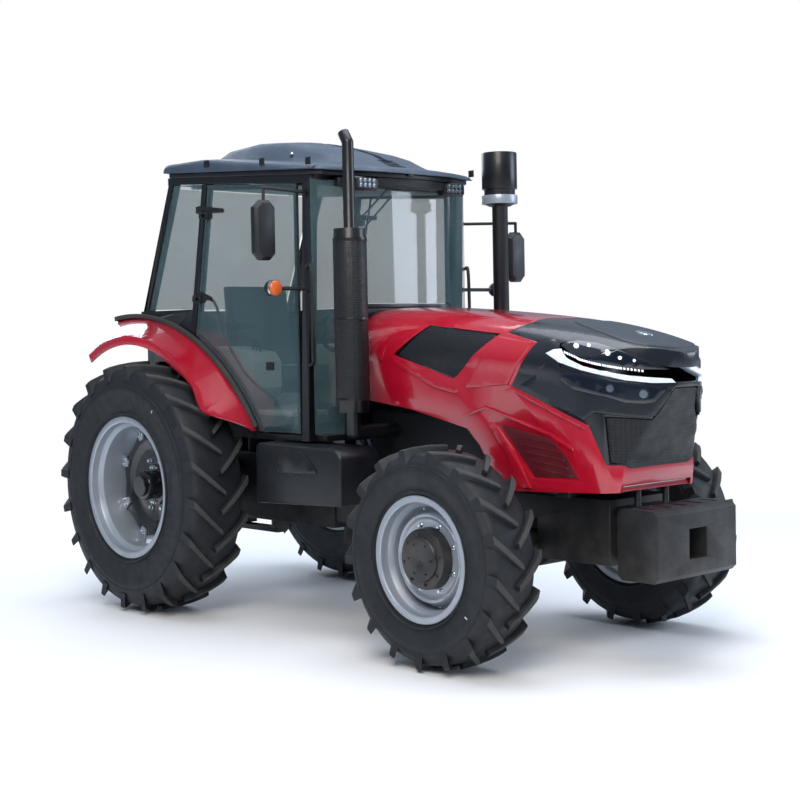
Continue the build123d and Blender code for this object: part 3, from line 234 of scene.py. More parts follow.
# Real materials, by the piece that they cover
M = {
    # two-pack gloss enamel on pressed steel
    "red": paint("red_enamel", "#b80f2b", 0.2, coat=0.9, dust=0.12, peel=0.02, dust_top=1.1),
    # the same enamel darkened: painted shade of the louvred recess
    "dark_red": paint("red_enamel_painted_shade", "#5d0c1a", 0.45, dust=0.2),
    # satin black moulded nose
    "nose": paint("satin_black_nose", "#10161f", 0.3, coat=0.35, dust=0.05, dust_top=1.2),
    # matt moulded cap of the nose
    "nose_cap": paint("matt_nose_cap", "#252d39", 0.42, coat=0.2, dust=0.05, dust_top=1.2, peel=0.02),
    # smoked polycarbonate over the lamps
    "dark_lens": paint("smoked_lamp_lens", "#0a1220", 0.06, coat=1.0, dust=0.0, peel=0.0),
    # lit lamp elements
    "lit": glowing("lamp_elements", "#e4edf8", 0.6),
    # chassis black over steel
    "black": paint("chassis_black", "#0b0e13", 0.34, coat=0.15, dust=0.3),
    # black over castings
    "cast": casting("black_casting", "#0c0f14"),
    # silver wheel enamel
    "silver": paint("silver_wheel_enamel", "#a9b2bd", 0.34, coat=0.3, metal=0.45, dust=0.3, dust_top=1.4),
    # natural rubber compound, sides
    "rubber": plastic("tyre_rubber", "#10141a", 0.62, 2.0, 0.25),
    # worn lug faces with dried earth
    "lug": plastic("dusty_lug_rubber", "#3b3a3a", 0.85, 3.0, 0.5),
    # polypropylene trim
    "trim": plastic("black_trim_plastic", "#0d1015", 0.45),
    # polyethylene fuel tank
    "tank": plastic("black_tank_plastic", "#0a0e14", 0.42, 1.6, 0.2),
    # grey-blue polyethylene roof
    "roof": plastic("grey_roof_plastic", "#3b4858", 0.5, 1.5, 0.15),
    # pale headliner and side panels inside
    "inside": plastic("pale_inside_plastic", "#9fa9a2", 0.6, 1.0, 0.15),
    # laminated green-tinted glass
    "glass": glass("tinted_cab_glass", "#33474d", 0.34),
    # clear polycarbonate lens
    "lens": glass("clear_lamp_lens", "#8fa3b5", 0.3, 0.02),
    # amber polycarbonate lens
    "amber": plastic("amber_lens", "#d2622a", 0.15, 2.0, 0.05),
    # silvered mirror and reflectors
    "mirror": bare_metal("silvered_mirror", "#c9d3dc", 0.04),
    # bright drawn steel
    "steel": bare_metal("bright_steel", "#8e949b", 0.28),
    # chromed trim
    "chrome": bare_metal("chrome_trim", "#d5dbe2", 0.08),
    # light strip of the head lamp
    "strip": glowing("white_light_strip", "#b9cbe0", 0.22),
    # grille wire mesh, seen from the front
    "grille": honeycomb("grille_mesh", "#10151c", 16.0, ("Y", "Z")),
    # hood side mesh, seen from the side
    "vent": honeycomb("side_mesh", "#141a22", 12.0, ("X", "Z")),
    # perforated heat guard
    "guard": honeycomb("perforated_guard", "#15191f", 14.0, ("X", "Z")),
    # woven seat cloth
    "cloth": weave("seat_cloth", "#2a2f36", 3.0),
    # white paint marks on the tyres
    "white": plastic("white_paint_mark", "#d9dde0", 0.5),
    # gloss black wheel discs
    "gloss_black": paint("gloss_black_disc", "#0a0c12", 0.16, coat=0.6, dust=0.12),
}


# Mesh tools
def keep(mesh, name, mats, body, replaced=(), sharp=32.0):
    """Links a finished mesh as a piece that rides on a body."""
    mesh.name = name
    for mat in mats:
        mesh.materials.append(M[mat])
    for face in mesh.polygons:
        face.use_smooth = True
    mesh.set_sharp_from_angle(angle=math.radians(sharp))
    piece = bpy.data.objects.new(name, mesh)
    bpy.context.scene.collection.objects.link(piece)
    if replaced:
        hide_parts(*replaced)
    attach(piece, body)


def finished(bm, bevel=0.0, segments=2, angle=30.0):
    """A mesh from bmesh data, its sharp edges rounded by bevel metres."""
    bmesh.ops.recalc_face_normals(bm, faces=bm.faces)
    mesh = bpy.data.meshes.new("form")
    bm.to_mesh(mesh)
    bm.free()
    if bevel:
        return with_bevel(mesh, bevel, segments, angle)
    return mesh


def with_bevel(mesh, width, segments=2, angle=30.0):
    """The mesh with its sharp edges rounded."""
    holder = bpy.data.objects.new("holder", mesh)
    bpy.context.scene.collection.objects.link(holder)
    mod = holder.modifiers.new("round", "BEVEL")
    mod.width = width
    mod.segments = segments
    mod.limit_method = "ANGLE"
    mod.angle_limit = math.radians(angle)
    mod.harden_normals = False
    mod.miter_outer = "MITER_ARC"
    return baked(holder)


def baked(holder):
    """The evaluated mesh of a scratch object, which is then removed."""
    graph = bpy.context.evaluated_depsgraph_get()
    graph.update()
    mesh = bpy.data.meshes.new_from_object(holder.evaluated_get(graph))
    old = holder.data
    bpy.data.objects.remove(holder)
    bpy.data.meshes.remove(old)
    return mesh


def node_mesh(node):
    """A clean copy of a CAD node's mesh, flat faces merged; the cab frame's window walls stay whole."""
    bm = bmesh.new()
    bm.from_mesh(nodes[node].data)
    bmesh.ops.remove_doubles(bm, verts=bm.verts, dist=2e-5)
    if node != "cab_frame":
        bmesh.ops.dissolve_limit(bm, angle_limit=math.radians(0.6), verts=bm.verts, edges=bm.edges)
    mesh = bpy.data.meshes.new(node)
    bm.to_mesh(mesh)
    bm.free()
    return mesh


def dress(node, mat, body, width):
    """The CAD node's form with rounded edges and its real material."""
    mesh = with_bevel(node_mesh(node), width * MM, 2, 28.0)
    keep(mesh, node + "_dressed", [mat], body, (node,))


def box_bm(bm, low, high, mat=0):
    """Adds a box between two corners, in millimetres."""
    made = bmesh.ops.create_cube(bm, size=1.0)
    size = [(b - a) * MM for a, b in zip(low, high)]
    middle = [(b + a) / 2 * MM for a, b in zip(low, high)]
    for v in made["verts"]:
        v.co = Vector([c * s + m for c, s, m in zip(v.co, size, middle)])
    for face in {f for v in made["verts"] for f in v.link_faces}:
        face.material_index = mat
    return made["verts"]


def turn_bm(bm, profile, centre, axis="Y", count=64, mat=0, closed=True):
    """Adds a ring turned about a line through centre: profile of (along, radius), in millimetres."""
    rings = []
    for k in range(count):
        a = 2 * math.pi * k / count
        c, s = math.cos(a), math.sin(a)
        ring = []
        for t, r in profile:
            p = {"X": (t, r * c, r * s), "Y": (r * c, t, r * s), "Z": (r * c, r * s, t)}[axis]
            ring.append(bm.verts.new([(p[i] + centre[i]) * MM for i in range(3)]))
        rings.append(ring)
    last = len(profile) if closed else len(profile) - 1
    for k in range(count):
        a, b = rings[k], rings[(k + 1) % count]
        for i in range(last):
            j = (i + 1) % len(profile)
            face = bm.faces.new((a[i], a[j], b[j], b[i]))
            face.material_index = mat
    if not closed:
        for end in (0, -1):
            face = bm.faces.new([ring[end] for ring in rings])
            face.material_index = mat
    return rings


def prism_bm(bm, points, a, b, axis="Y", mat=0):
    """Adds a prism: an outline drawn from a to b along an axis, in millimetres."""
    def at(p, t):
        return [c * MM for c in {"X": (t, p[0], p[1]), "Y": (p[0], t, p[1]), "Z": (p[0], p[1], t)}[axis]]
    low = [bm.verts.new(at(p, a)) for p in points]
    high = [bm.verts.new(at(p, b)) for p in points]
    faces = [bm.faces.new(low), bm.faces.new(high)]
    for i in range(len(points)):
        j = (i + 1) % len(points)
        faces.append(bm.faces.new((low[i], low[j], high[j], high[i])))
    for face in faces:
        face.material_index = mat
    return low + high


def tube_bm(bm, points, radius, sides=12, mat=0, flat=1.0, caps=True):
    """Adds a tube along points in millimetres; radius may be a list, one value a point."""
    points = [Vector(p) for p in points]
    radii = radius if isinstance(radius, (list, tuple)) else [radius] * len(points)
    frames = []
    side = None
    for i, p in enumerate(points):
        ahead = points[min(i + 1, len(points) - 1)] - points[max(i - 1, 0)]
        ahead.normalize()
        if side is None:
            side = ahead.orthogonal().normalized()
            if abs(ahead.z) < 0.99:
                side = ahead.cross(Vector((0, 0, 1))).normalized()
        side = (side - ahead * side.dot(ahead)).normalized()
        frames.append((p, side, ahead.cross(side).normalized()))
    rings = []
    for (p, u, v), r in zip(frames, radii):
        ring = []
        for k in range(sides):
            a = 2 * math.pi * k / sides
            ring.append(bm.verts.new((p + u * r * math.cos(a) + v * r * flat * math.sin(a)) * MM))
        rings.append(ring)
    for a, b in zip(rings, rings[1:]):
        for k in range(sides):
            j = (k + 1) % sides
            bm.faces.new((a[k], a[j], b[j], b[k])).material_index = mat
    if caps:
        bm.faces.new(rings[0]).material_index = mat
        bm.faces.new(rings[-1]).material_index = mat


def hex_bolt_bm(bm, centre, axis, radius, high, mat=0):
    """Adds a bolt head on a washer; the head stands out along the axis vector."""
    line = Vector(axis).normalized()
    u = line.orthogonal().normalized()
    v = line.cross(u)
    start = Vector(centre)
    for r0, sides, h0, h1 in ((radius * 1.35, 20, 0.0, high * 0.25), (radius, 6, high * 0.25, high)):
        rings = []
        for h, shrink in ((h0, 1.0), (h1 - high * 0.12, 1.0), (h1, 0.86)):
            ring = []
            for k in range(sides):
                a = 2 * math.pi * k / sides
                spoke = (u * math.cos(a) + v * math.sin(a)) * r0 * shrink
                ring.append(bm.verts.new((start + line * h + spoke) * MM))
            rings.append(ring)
        for a, b in zip(rings, rings[1:]):
            for k in range(sides):
                j = (k + 1) % sides
                bm.faces.new((a[k], a[j], b[j], b[k])).material_index = mat
        bm.faces.new(rings[0]).material_index = mat
        bm.faces.new(rings[-1]).material_index = mat


def mirrored(bm):
    """Adds the left-hand twin of everything in bm."""
    made = bmesh.ops.duplicate(bm, geom=bm.verts[:] + bm.edges[:] + bm.faces[:])
    for item in made["geom"]:
        if isinstance(item, bmesh.types.BMVert):
            item.co.y = -item.co.y
    faces = [item for item in made["geom"] if isinstance(item, bmesh.types.BMFace)]
    bmesh.ops.reverse_faces(bm, faces=faces)


# Every CAD piece with rounded edges and its real material
DRESS = (
    ("transmission_housing", "cast", "chassis", 8.0), ("engine_block", "cast", "chassis", 14.0),
    ("radiator", "black", "chassis", 5.0), ("front_frame", "cast", "chassis", 12.0),
    ("front_axle", "cast", "chassis", 8.0), ("drive_shaft", "black", "chassis", 3.0),
    ("front_weights", "cast", "chassis", 8.0), ("fuel_tanks", "tank", "chassis", 22.0),
    ("cab_frame", "black", "chassis", 4.0), ("cab_floor", "black", "chassis", 3.0),
    ("cab_cowl", "black", "chassis", 3.0),
    ("roof_header", "trim", "chassis", 5.0), ("seat", "cloth", "chassis", 30.0),
    ("steering_column", "trim", "chassis", 6.0), ("muffler", "black", "chassis", 5.0),
    ("intake_stack", "black", "chassis", 5.0), ("mirrors", "trim", "chassis", 10.0),
    ("lamps", "trim", "chassis", 6.0), ("top_link", "black", "chassis", 2.0),
    ("drawbar", "cast", "chassis", 4.0),
    ("right_knuckle", "cast", "right_steering", 6.0), ("left_knuckle", "cast", "left_steering", 6.0),
    ("right_door_frame", "trim", "right_door", 2.0), ("left_door_frame", "trim", "left_door", 2.0),
    ("hood_shell", "red", "hood", 5.0), ("hood_nose", "nose", "hood", 5.0),
    ("lower_links", "cast", "lower_link_pair", 5.0), ("lift_arms", "cast", "lift_arm_pair", 5.0),
    ("lift_rods", "black", "lift_rod_pair", 3.0), ("pto_shaft", "steel", "power_take_off", 1.5),
)
for node, mat, body, width in DRESS:
    dress(node, mat, body, width)

for node in ("cab_glass", "rear_window", "right_door_glass", "left_door_glass"):
    nodes[node].data.materials.clear()
    nodes[node].data.materials.append(M["glass"])

# Wheels: smooth carcasses with rows of lugs, rolled rims, bolted discs and hubs
REAR = dict(x=-1357.0, r=827.5, w=430.0, track=895.0, flange=468.0, seat=436.0, well=404.0, rim=372.0,
            depth=38.0, lugs=20, mark=55.0)
FRONT = dict(x=1357.0, r=605.0, w=345.0, track=860.0, flange=343.0, seat=314.0, well=288.0, rim=290.0,
             depth=31.0, lugs=17, mark=-36.0)


# hole of the front disc over its hub, and the turn of its four lobes
HUB_HOLE = 166.6
LOBE_TURN = 12


def smooth_line(points, steps):
    """Points of a soft curve through the given ones."""
    out = []
    for i in range(len(points) - 1):
        p0, p1 = points[max(i - 1, 0)], points[i]
        p2, p3 = points[i + 1], points[min(i + 2, len(points) - 1)]
        for k in range(steps):
            t = k / steps
            ends = (2 * t ** 2 - t - t ** 3, t ** 3 - t ** 2)
            shares = (ends[0], 2 - 5 * t ** 2 + 3 * t ** 3, t + 4 * t ** 2 - 3 * t ** 3, ends[1])
            out.append(tuple(0.5 * sum(f * v for f, v in zip(shares, row)) for row in zip(p0, p1, p2, p3)))
    return out + [points[-1]]


def polar(y, r, angle, centre):
    """A point at radius r and angle in degrees about a wheel's axle, in metres."""
    a = math.radians(angle)
    return [(centre[0] + r * math.cos(a)) * MM, (centre[1] + y) * MM, (centre[2] + r * math.sin(a)) * MM]


def lug_bm(bm, d, centre, angle, mirror):
    """One tread lug, swept back at its shoulder end; index 1 is its worn face."""
    r, w, depth = d["r"], d["w"], d["depth"]
    sweep = math.degrees((w / 2 + 12) * 0.9 / r)
    rings = []
    for t in (0.0, 0.12, 0.4, 0.7, 0.92, 1.0):
        y = (12 + t * (-w / 2 + 4 - 12)) * mirror
        middle = angle + sweep * (t * 0.85 + 0.15 * t * t)
        top = r * (1 - 0.028 * t ** 2.2) - (3.0 if t == 1.0 else 0.0)
        low = r - depth - 14 - 70 * t ** 2
        half = 15 + 7 * t - (3.0 if t == 0.0 else 0.0)
        ring = []
        for radius, side in ((low, -1.32), (top - 7, -1.06), (top, -0.9), (top, 0.9), (top - 7, 1.06),
                (low, 1.32)):
            ring.append(bm.verts.new(polar(y, radius, middle + math.degrees(side * half / radius), centre)))
        rings.append(ring)
    for a, b in zip(rings, rings[1:]):
        for k in range(6):
            j = (k + 1) % 6
            face = bm.faces.new((a[k], a[j], b[j], b[k]))
            face.material_index = 1 if k in (1, 2, 3) else 0
    bm.faces.new(rings[0])
    bm.faces.new(rings[-1])


def tyre_piece(d, side, body, node):
    """Tyre with its two rows of lugs; side is -1 on the right."""
    centre = (d["x"], side * d["track"], d["r"])
    bm = bmesh.new()
    h, w, base = d["rim"] / 2 - 1, d["w"] / 2, d["r"] - d["depth"]
    waist = (d["r"] + d["flange"]) / 2
    half = [(-h, d["seat"] + 1), (-h + 1, d["flange"] + 2), (-h - 4, d["flange"] + 12),
            (-w * 0.985, waist - 26)]
    half += [(-w, waist + 4), (-w * 0.965, waist + 40), (-w * 0.9, base - 42), (-w * 0.74, base - 12),
            (-w * 0.3, base - 1)]
    curve = smooth_line(half + [(0.0, base)], 4)
    turn_bm(bm, curve + [(-y, r) for y, r in reversed(curve[:-1])], centre, "Y", 96)
    for guard in (d["flange"] + 20, waist + 26):
        y = -min(w - 1.5, w * 0.985 + 1)
        turn_bm(bm, [(y + 6, guard - 6), (y - 1.5, guard - 3), (y - 1.5, guard + 3),
                (y + 6, guard + 6)], centre, "Y", 96)
        turn_bm(bm, [(-y - 6, guard - 6), (-y + 1.5, guard - 3), (-y + 1.5, guard + 3),
                (-y - 6, guard + 6)], centre, "Y", 96)
    pitch = 360 / d["lugs"]
    for k in range(d["lugs"]):
        lug_bm(bm, d, centre, k * pitch, -side)
        lug_bm(bm, d, centre, (k + 0.5) * pitch, side)
    low = waist - 38
    dash = []
    for radius, half_ in ((low, 3.5), (low + 30, 3.5)):
        for s in (-1, 1):
            dash.append(bm.verts.new(polar(side * (w * 0.985 + 1.5),
                    radius, d["mark"] + s * math.degrees(half_ / radius), centre)))
    bm.faces.new((dash[0], dash[1], dash[3], dash[2])).material_index = 2
    mesh = finished(bm)
    keep(mesh, node + "_tread", ["rubber", "lug", "white"], body, (node,), 38)


def disc_bm(bm, inner, outer, height, centre, side, thick, a0=0.0, a1=360.0, steps=96, rows=12, mat=0):
    """A pressed disc: height(r) is how far it stands out; outer(angle) is its edge."""
    whole = a1 - a0 >= 360
    skins = []
    for shift in (0.0, thick):
        skin = []
        for i in range(steps + (0 if whole else 1)):
            a = a0 + (a1 - a0) * i / steps
            edge = outer(a)
            row = []
            for k in range(rows + 1):
                r = inner + (edge - inner) * k / rows
                row.append(bm.verts.new(polar(side * (height(r) - shift), r, a, centre)))
            skin.append(row)
        skins.append(skin)
    count = len(skins[0])
    for i in range(count if whole else count - 1):
        j = (i + 1) % count
        for skin in skins:
            for k in range(rows):
                bm.faces.new((skin[i][k], skin[i][k + 1], skin[j][k + 1], skin[j][k])).material_index = mat
        for k in (0, rows):
            bm.faces.new((skins[0][i][k], skins[0][j][k], skins[1][j][k],
                    skins[1][i][k])).material_index = mat
    if not whole:
        for i in (0, count - 1):
            for k in range(rows):
                bm.faces.new((skins[0][i][k], skins[0][i][k + 1], skins[1][i][k + 1],
                        skins[1][i][k])).material_index = mat


def rim_ring(bm, d, centre):
    """The rolled rim: beads, seats, humps and dropped well."""
    h, t = d["rim"] / 2, 9.0
    top = [(-h - t, d["flange"] - 4), (-h - t + 3, d["flange"]), (-h - 2, d["flange"] - 1),
            (-h, d["flange"] - 6)]
    top += [(-h, d["seat"] + 4), (-h + 5, d["seat"]), (-h + 42, d["seat"] - 2), (-h + 50, d["seat"] - 6)]
    top += [(-h + 70, d["well"] + 3), (-h + 80, d["well"])]
    under = [(-h - t, d["seat"] - 2), (-h - t + 6, d["seat"] - t), (-h + 38, d["seat"] - t - 2),
            (-h + 46, d["seat"] - t - 6)]
    under += [(-h + 64, d["well"] - t + 3), (-h + 76, d["well"] - t)]
    loop = top + [(-y, r) for y, r in reversed(top)]
    low = under + [(-y, r) for y, r in reversed(under)]
    turn_bm(bm, loop + list(reversed(low)), centre, "Y", 96)


def pressed(knots, r):
    """Height of a pressed disc at radius r, eased between knots of (radius, height)."""
    for (r0, h0), (r1, h1) in zip(knots, knots[1:]):
        if r <= r1:
            t = (r - r0) / (r1 - r0)
            return h0 + (h1 - h0) * t * t * (3 - 2 * t)
    return knots[-1][1]


def lug_seat_bm(bm, corners):
    """A welded lug of the rim, from its eight corners in metres."""
    verts = [bm.verts.new(c) for c in corners]
    for f in ((0, 1, 2, 3), (4, 5, 6, 7), (0, 1, 5, 4), (1, 2, 6, 5), (2, 3, 7, 6), (3, 0, 4, 7)):
        bm.faces.new([verts[i] for i in f])


def bolts_bm(bm, centre, side, out, radius, angles, size, high, mat=0):
    """Bolts on a wheel, out from its middle plane, at a radius and at angles in degrees."""
    for angle in angles:
        seat = [c / MM for c in polar(side * out, radius, angle, centre)]
        hex_bolt_bm(bm, seat, (0, side, 0), size, high, mat)


def front_wheel(side, body, name):
    """Front rim with its lobed disc, and the planetary hub."""
    d = FRONT
    centre = (d["x"], side * d["track"], d["r"])
    bm = bmesh.new()
    rim_ring(bm, d, centre)
    knots = ((166, 66), (204, 66), (212, 70), (224, 84), (234, 86), (246, 72), (256, 42), (268, 18),
            (290, 8))

    def edge(a):
        """The disc's four lobes."""
        wave = math.cos(math.radians(4 * (a - LOBE_TURN)))
        return 252 + 27 * max(0.0, min(1.0, 0.5 + 0.95 * wave))
    disc_bm(bm, HUB_HOLE, edge, lambda r: pressed(knots, r), centre, side, 9.0, rows=16)
    for a in (LOBE_TURN + 90 * k for k in range(4)):
        bolts_bm(bm, centre, side, 12, 268, (a - 8, a + 8), 9, 10, 1)
        for da in (-13, 13):
            plan = ((250, da - 3), (250, da + 3), (281, da + 3), (281, da - 3))
            lug_seat_bm(bm, [polar(y * side, r, a + s, centre) for y in (-34, 4) for r, s in plan])
    bolts_bm(bm, centre, side, 67, 184, [22.5 + 45 * k for k in range(8)], 11, 17, 1)
    keep(finished(bm), name + "_rim_formed", ["silver", "chrome"], body, (name + "_rim",), 34)
    bm = bmesh.new()
    out = [(-12, 121), (-12, 198), (44, 198), (62, 192), (64, 165), (118, 164), (128, 161), (132, 154),
            (132, 122)]
    out += [(142, 120), (149, 114), (150, 100), (150, 40), (146, 36), (146, 1)]
    back = [(-98, 1), (-98, 39), (-92, 39), (-92, 121)]
    turn_bm(bm, [(side * t, r) for t, r in out + back], centre, "Y", 64)
    bolts_bm(bm, centre, side, 132, 138, [10 + 45 * k for k in range(8)], 8, 9)
    bolts_bm(bm, centre, side, 150, 86, [60 * k for k in range(6)], 6, 7)
    keep(with_bevel(finished(bm), 0.0025), name + "_hub_formed", ["black"], body, (name + "_hub",), 34)


def rear_wheel(side, body, name):
    """Rear rim with its bolted lugs, the two-part disc and the hub."""
    d = REAR
    centre = (d["x"], side * d["track"], d["r"])
    bm = bmesh.new()
    rim_ring(bm, d, centre)
    inside = d["well"] - 9
    plan = ((inside - 74, -4), (inside - 74, 4), (inside + 3, 6.5), (inside + 3, -6.5))
    for a in (22.5 + 45 * k for k in range(8)):
        lug_seat_bm(bm, [polar(y * side, r, a + s, centre) for y in (-24, -12) for r, s in plan])
        bolts_bm(bm, centre, side, -12, inside - 34, (a - 3, a + 3), 11, 13, 1)
    keep(with_bevel(finished(bm), 0.002), name + "_rim_formed", ["silver", "chrome"], body,
            (name + "_rim",), 34)
    bm = bmesh.new()
    knots = ((100, -44), (170, -44), (240, -46), (262, -42), (300, -28), (340, -24), (400, -24))

    def edge(a):
        """The disc's eight shallow lobes."""
        return 352 + 14 * math.cos(math.radians(8 * (a - 22.5)))

    def scallop(a):
        """Edge of the cast ring round the hub."""
        return 128 + 9 * abs(math.cos(math.radians(5 * a)))
    for a0 in (-89.3, 90.7):
        disc_bm(bm, 100, edge, lambda r: pressed(knots, r), centre, side, 14.0, a0, a0 + 178.6, 64, 14)
    disc_bm(bm, 60, scallop, lambda r: -22.0 - max(0.0, r - 118) * 0.3, centre, side, 22.0, rows=6)
    nose = [(-24, 96), (30, 96), (58, 94), (68, 88), (70, 71), (90, 70), (96, 64), (96, 1)]
    back = [(-188, 1), (-188, 51), (-190, 87), (-46, 87)]
    turn_bm(bm, [(side * t, r) for t, r in nose + back], centre, "Y", 48)
    bolts_bm(bm, centre, side, -44, 168, [22.5 + 45 * k for k in range(8)], 14, 20, 1)
    bolts_bm(bm, centre, side, -22, 116, (84, 96, 264, 276), 11, 16, 1)
    shaft = [(-189, 1), (-189, 51.5), (-284, 51.5), (-284, 1)]
    turn_bm(bm, [(side * t, r) for t, r in shaft], centre, "Y", 32)
    keep(finished(bm), name + "_hub_formed", ["gloss_black", "chrome"], body, (name + "_hub",), 34)


for word, side in (("right", -1), ("left", 1)):
    tyre_piece(REAR, side, f"rear_{word}_wheel", f"rear_{word}_tyre")
    tyre_piece(FRONT, side, f"front_{word}_wheel", f"front_{word}_tyre")
    rear_wheel(side, f"rear_{word}_wheel", f"rear_{word}")
    front_wheel(side, f"front_{word}_wheel", f"front_{word}")

# Hood: panels, lamps, louvres and grille draped over the CAD skin
VIEWS = {
    # looking direction and its right-hand direction
    "side": (Vector((0, 1, 0)), Vector((1, 0, 0))),
    "corner": (Vector((-0.735, 0.678, 0)), Vector((0.678, 0.735, 0))),
    "front": (Vector((-1, 0, 0)), Vector((0, 1, 0))),
}


def surface(names):
    """Search tree over CAD nodes at rest."""
    points, faces = [], []
    for name in names:
        start = len(points)
        points += [nodes[name].matrix_world @ v.co for v in nodes[name].data.vertices]
        faces += [[start + i for i in face.vertices] for face in nodes[name].data.polygons]
    return BVHTree.FromPolygons(points, faces)


HOOD = surface(("hood_shell", "hood_nose", "hood_lamps", "hood_mesh"))


def drop_on(tree, view, across, up, lift):
    """The point of a skin seen at (across, up) in a view, lifted off it; in metres."""
    if view == "top":
        spot, normal = tree.ray_cast(Vector((across, up, 5.0)), Vector((0, 0, -1)))[:2]
    else:
        ahead, right = VIEWS[view]
        spot, normal = tree.ray_cast(right * across + Vector((0, 0, up)) - ahead * 6.0, ahead)[:2]
    if spot is None:
        return None
    if view == "top":
        normal = normal if normal.z > 0 else -normal
    elif normal.dot(VIEWS[view][0]) > 0:
        normal = -normal
    return spot + normal * lift


def patch_bm(bm, tree, view, points, low, high, mat=0, cell=45.0, taper=0.0):
    """Adds a panel draped over a skin: outline points in mm, from low to high off the skin in mm."""
    if view == "top":
        flat = [(x * MM, y * MM) for x, y, z in points]
    else:
        right = VIEWS[view][1]
        flat = [(Vector((x, y, 0)).dot(right) * MM, z * MM) for x, y, z in points]
    part = bmesh.new()
    part.faces.new([part.verts.new((a, b, 0.0)) for a, b in flat])
    bmesh.ops.triangulate(part, faces=part.faces[:])
    for step in range(7):
        long = [e for e in part.edges if e.calc_length() > cell * MM]
        if not long:
            break
        bmesh.ops.subdivide_edges(part, edges=long, cuts=1)
        bmesh.ops.triangulate(part, faces=part.faces[:])
        bmesh.ops.beautify_fill(part, faces=part.faces[:],
                edges=[e for e in part.edges if not e.is_boundary])
    middle = sum((v.co for v in part.verts), Vector()) / len(part.verts)
    rim = {v for v in part.verts if v.is_boundary}
    lower, upper = {}, {}
    for v in part.verts:
        foot = drop_on(tree, view, v.co.x, v.co.y, low * MM)
        inner = v.co + (middle - v.co).normalized() * taper * MM if v in rim else v.co
        top = drop_on(tree, view, inner.x, inner.y, high * MM)
        if foot is None or top is None:
            part.free()
            return
        lower[v], upper[v] = bm.verts.new(foot), bm.verts.new(top)
    for face in part.faces:
        for side in (upper, lower):
            bm.faces.new([side[v] for v in face.verts]).material_index = mat
    for edge in part.edges:
        if edge.is_boundary:
            a, b = edge.verts
            bm.faces.new((lower[a], lower[b], upper[b], upper[a])).material_index = mat
    part.free()


def ridge_line(points, width, view):
    """Outline of a band of the given width about a line of points."""
    left, right = [], []
    for i, p in enumerate(points):
        a, b = Vector(points[max(i - 1, 0)]), Vector(points[min(i + 1, len(points) - 1)])
        if view == "side":
            along = Vector((b.x - a.x, 0, b.z - a.z)).normalized()
            out = Vector((-along.z, 0, along.x))
        else:
            along = (b - a).normalized()
            out = Vector((0, 0, 1)) - along * along.z
            out.normalize()
        left.append(tuple(Vector(p) + out * width / 2))
        right.append(tuple(Vector(p) - out * width / 2))
    return left + list(reversed(right))


def hood_piece(bm, name, mat, replaced=(), edge=0.002):
    """Keeps what bm holds as a piece of the hood, its edges rounded."""
    keep(with_bevel(finished(bm), edge, 2, 25), name, [mat], "hood", replaced, 40)


def side_windows():
    """Mesh windows in the hood's flanks."""
    side_window = [(812, -371, 1846), (1338, -377, 1793), (1349, -377, 1780), (1080, -427, 1556),
            (1060, -427, 1546), (612, -436, 1672), (608, -436, 1682)]
    bm = bmesh.new()
    patch_bm(bm, HOOD, "side", side_window, -4, 1.5, 0, 60, 3)
    mirrored(bm)
    keep(finished(bm), "side_windows", ["vent"], "hood", (), 40)


def grille_screen():
    """The mesh in the opening of the nose."""
    shield = [(2345, -95, 1492), (2343, 95, 1492), (2292, 145, 1385), (2266, 190, 1330),
            (2050, 345, 1345), (2093, 335, 1112), (2168, 244, 1073)]
    shield += [(2168, -244, 1073), (2093, -335, 1112), (2050, -345, 1345), (2266, -190, 1330),
            (2292, -145, 1385)]
    bm = bmesh.new()
    patch_bm(bm, HOOD, "front", shield, -4, 2, 0, 60, 4)
    keep(finished(bm), "grille_screen", ["grille"], "hood", ("hood_mesh",), 40)


def hood_pressings():
    """Raised panels, creases and lips pressed in the sheet."""
    bm = bmesh.new()
    panel = [(1352, -379, 1783), (1632, -380, 1740), (1468, -416, 1506), (1140, -423, 1488),
            (1180, -424, 1560), (1310, -425, 1700)]
    patch_bm(bm, HOOD, "side", panel, -3, 7, 0, 50, 9)
    strut = [(1304, -412, 1301), (1351, -410, 1303), (1483, -395, 1152), (1605, -385, 945),
            (1527, -388, 945), (1425, -401, 1148)]
    patch_bm(bm, HOOD, "side", strut, -3, 15, 0, 45, 8)
    ridge = ridge_line([(1112, 0, 1331), (1285, 0, 1387), (1533, 0, 1316), (1752, 0, 1242),
            (1900, 0, 1170)], 17, "side")
    patch_bm(bm, HOOD, "side", ridge, -3, 8, 0, 45, 6)
    below = ridge_line([(560, 0, 1640), (737, 0, 1568), (914, 0, 1500), (1080, 0, 1470)], 26, "side")
    patch_bm(bm, HOOD, "side", below, -3, 8, 0, 45, 9)
    flare = [(579, 0, 1800), (520, 0, 1752), (455, 0, 1640), (425, 0, 1640), (450, 0, 1740), (520, 0, 1812)]
    patch_bm(bm, HOOD, "side", flare, -3, 10, 0, 45, 10)
    brow = ridge_line([(1440, 0, 1480), (1500, 0, 1488), (1727, 0, 1388), (1981, 0, 1288)], 15, "side")
    patch_bm(bm, HOOD, "side", brow, -3, 7, 0, 45, 5)
    mirrored(bm)
    lip = [(2168, -268, 1056), (2168, 268, 1056), (2168, 275, 985), (2168, -275, 985)]
    patch_bm(bm, HOOD, "front", lip, -3, 12, 0, 50, 10)
    hood_piece(bm, "hood_pressings", "red")


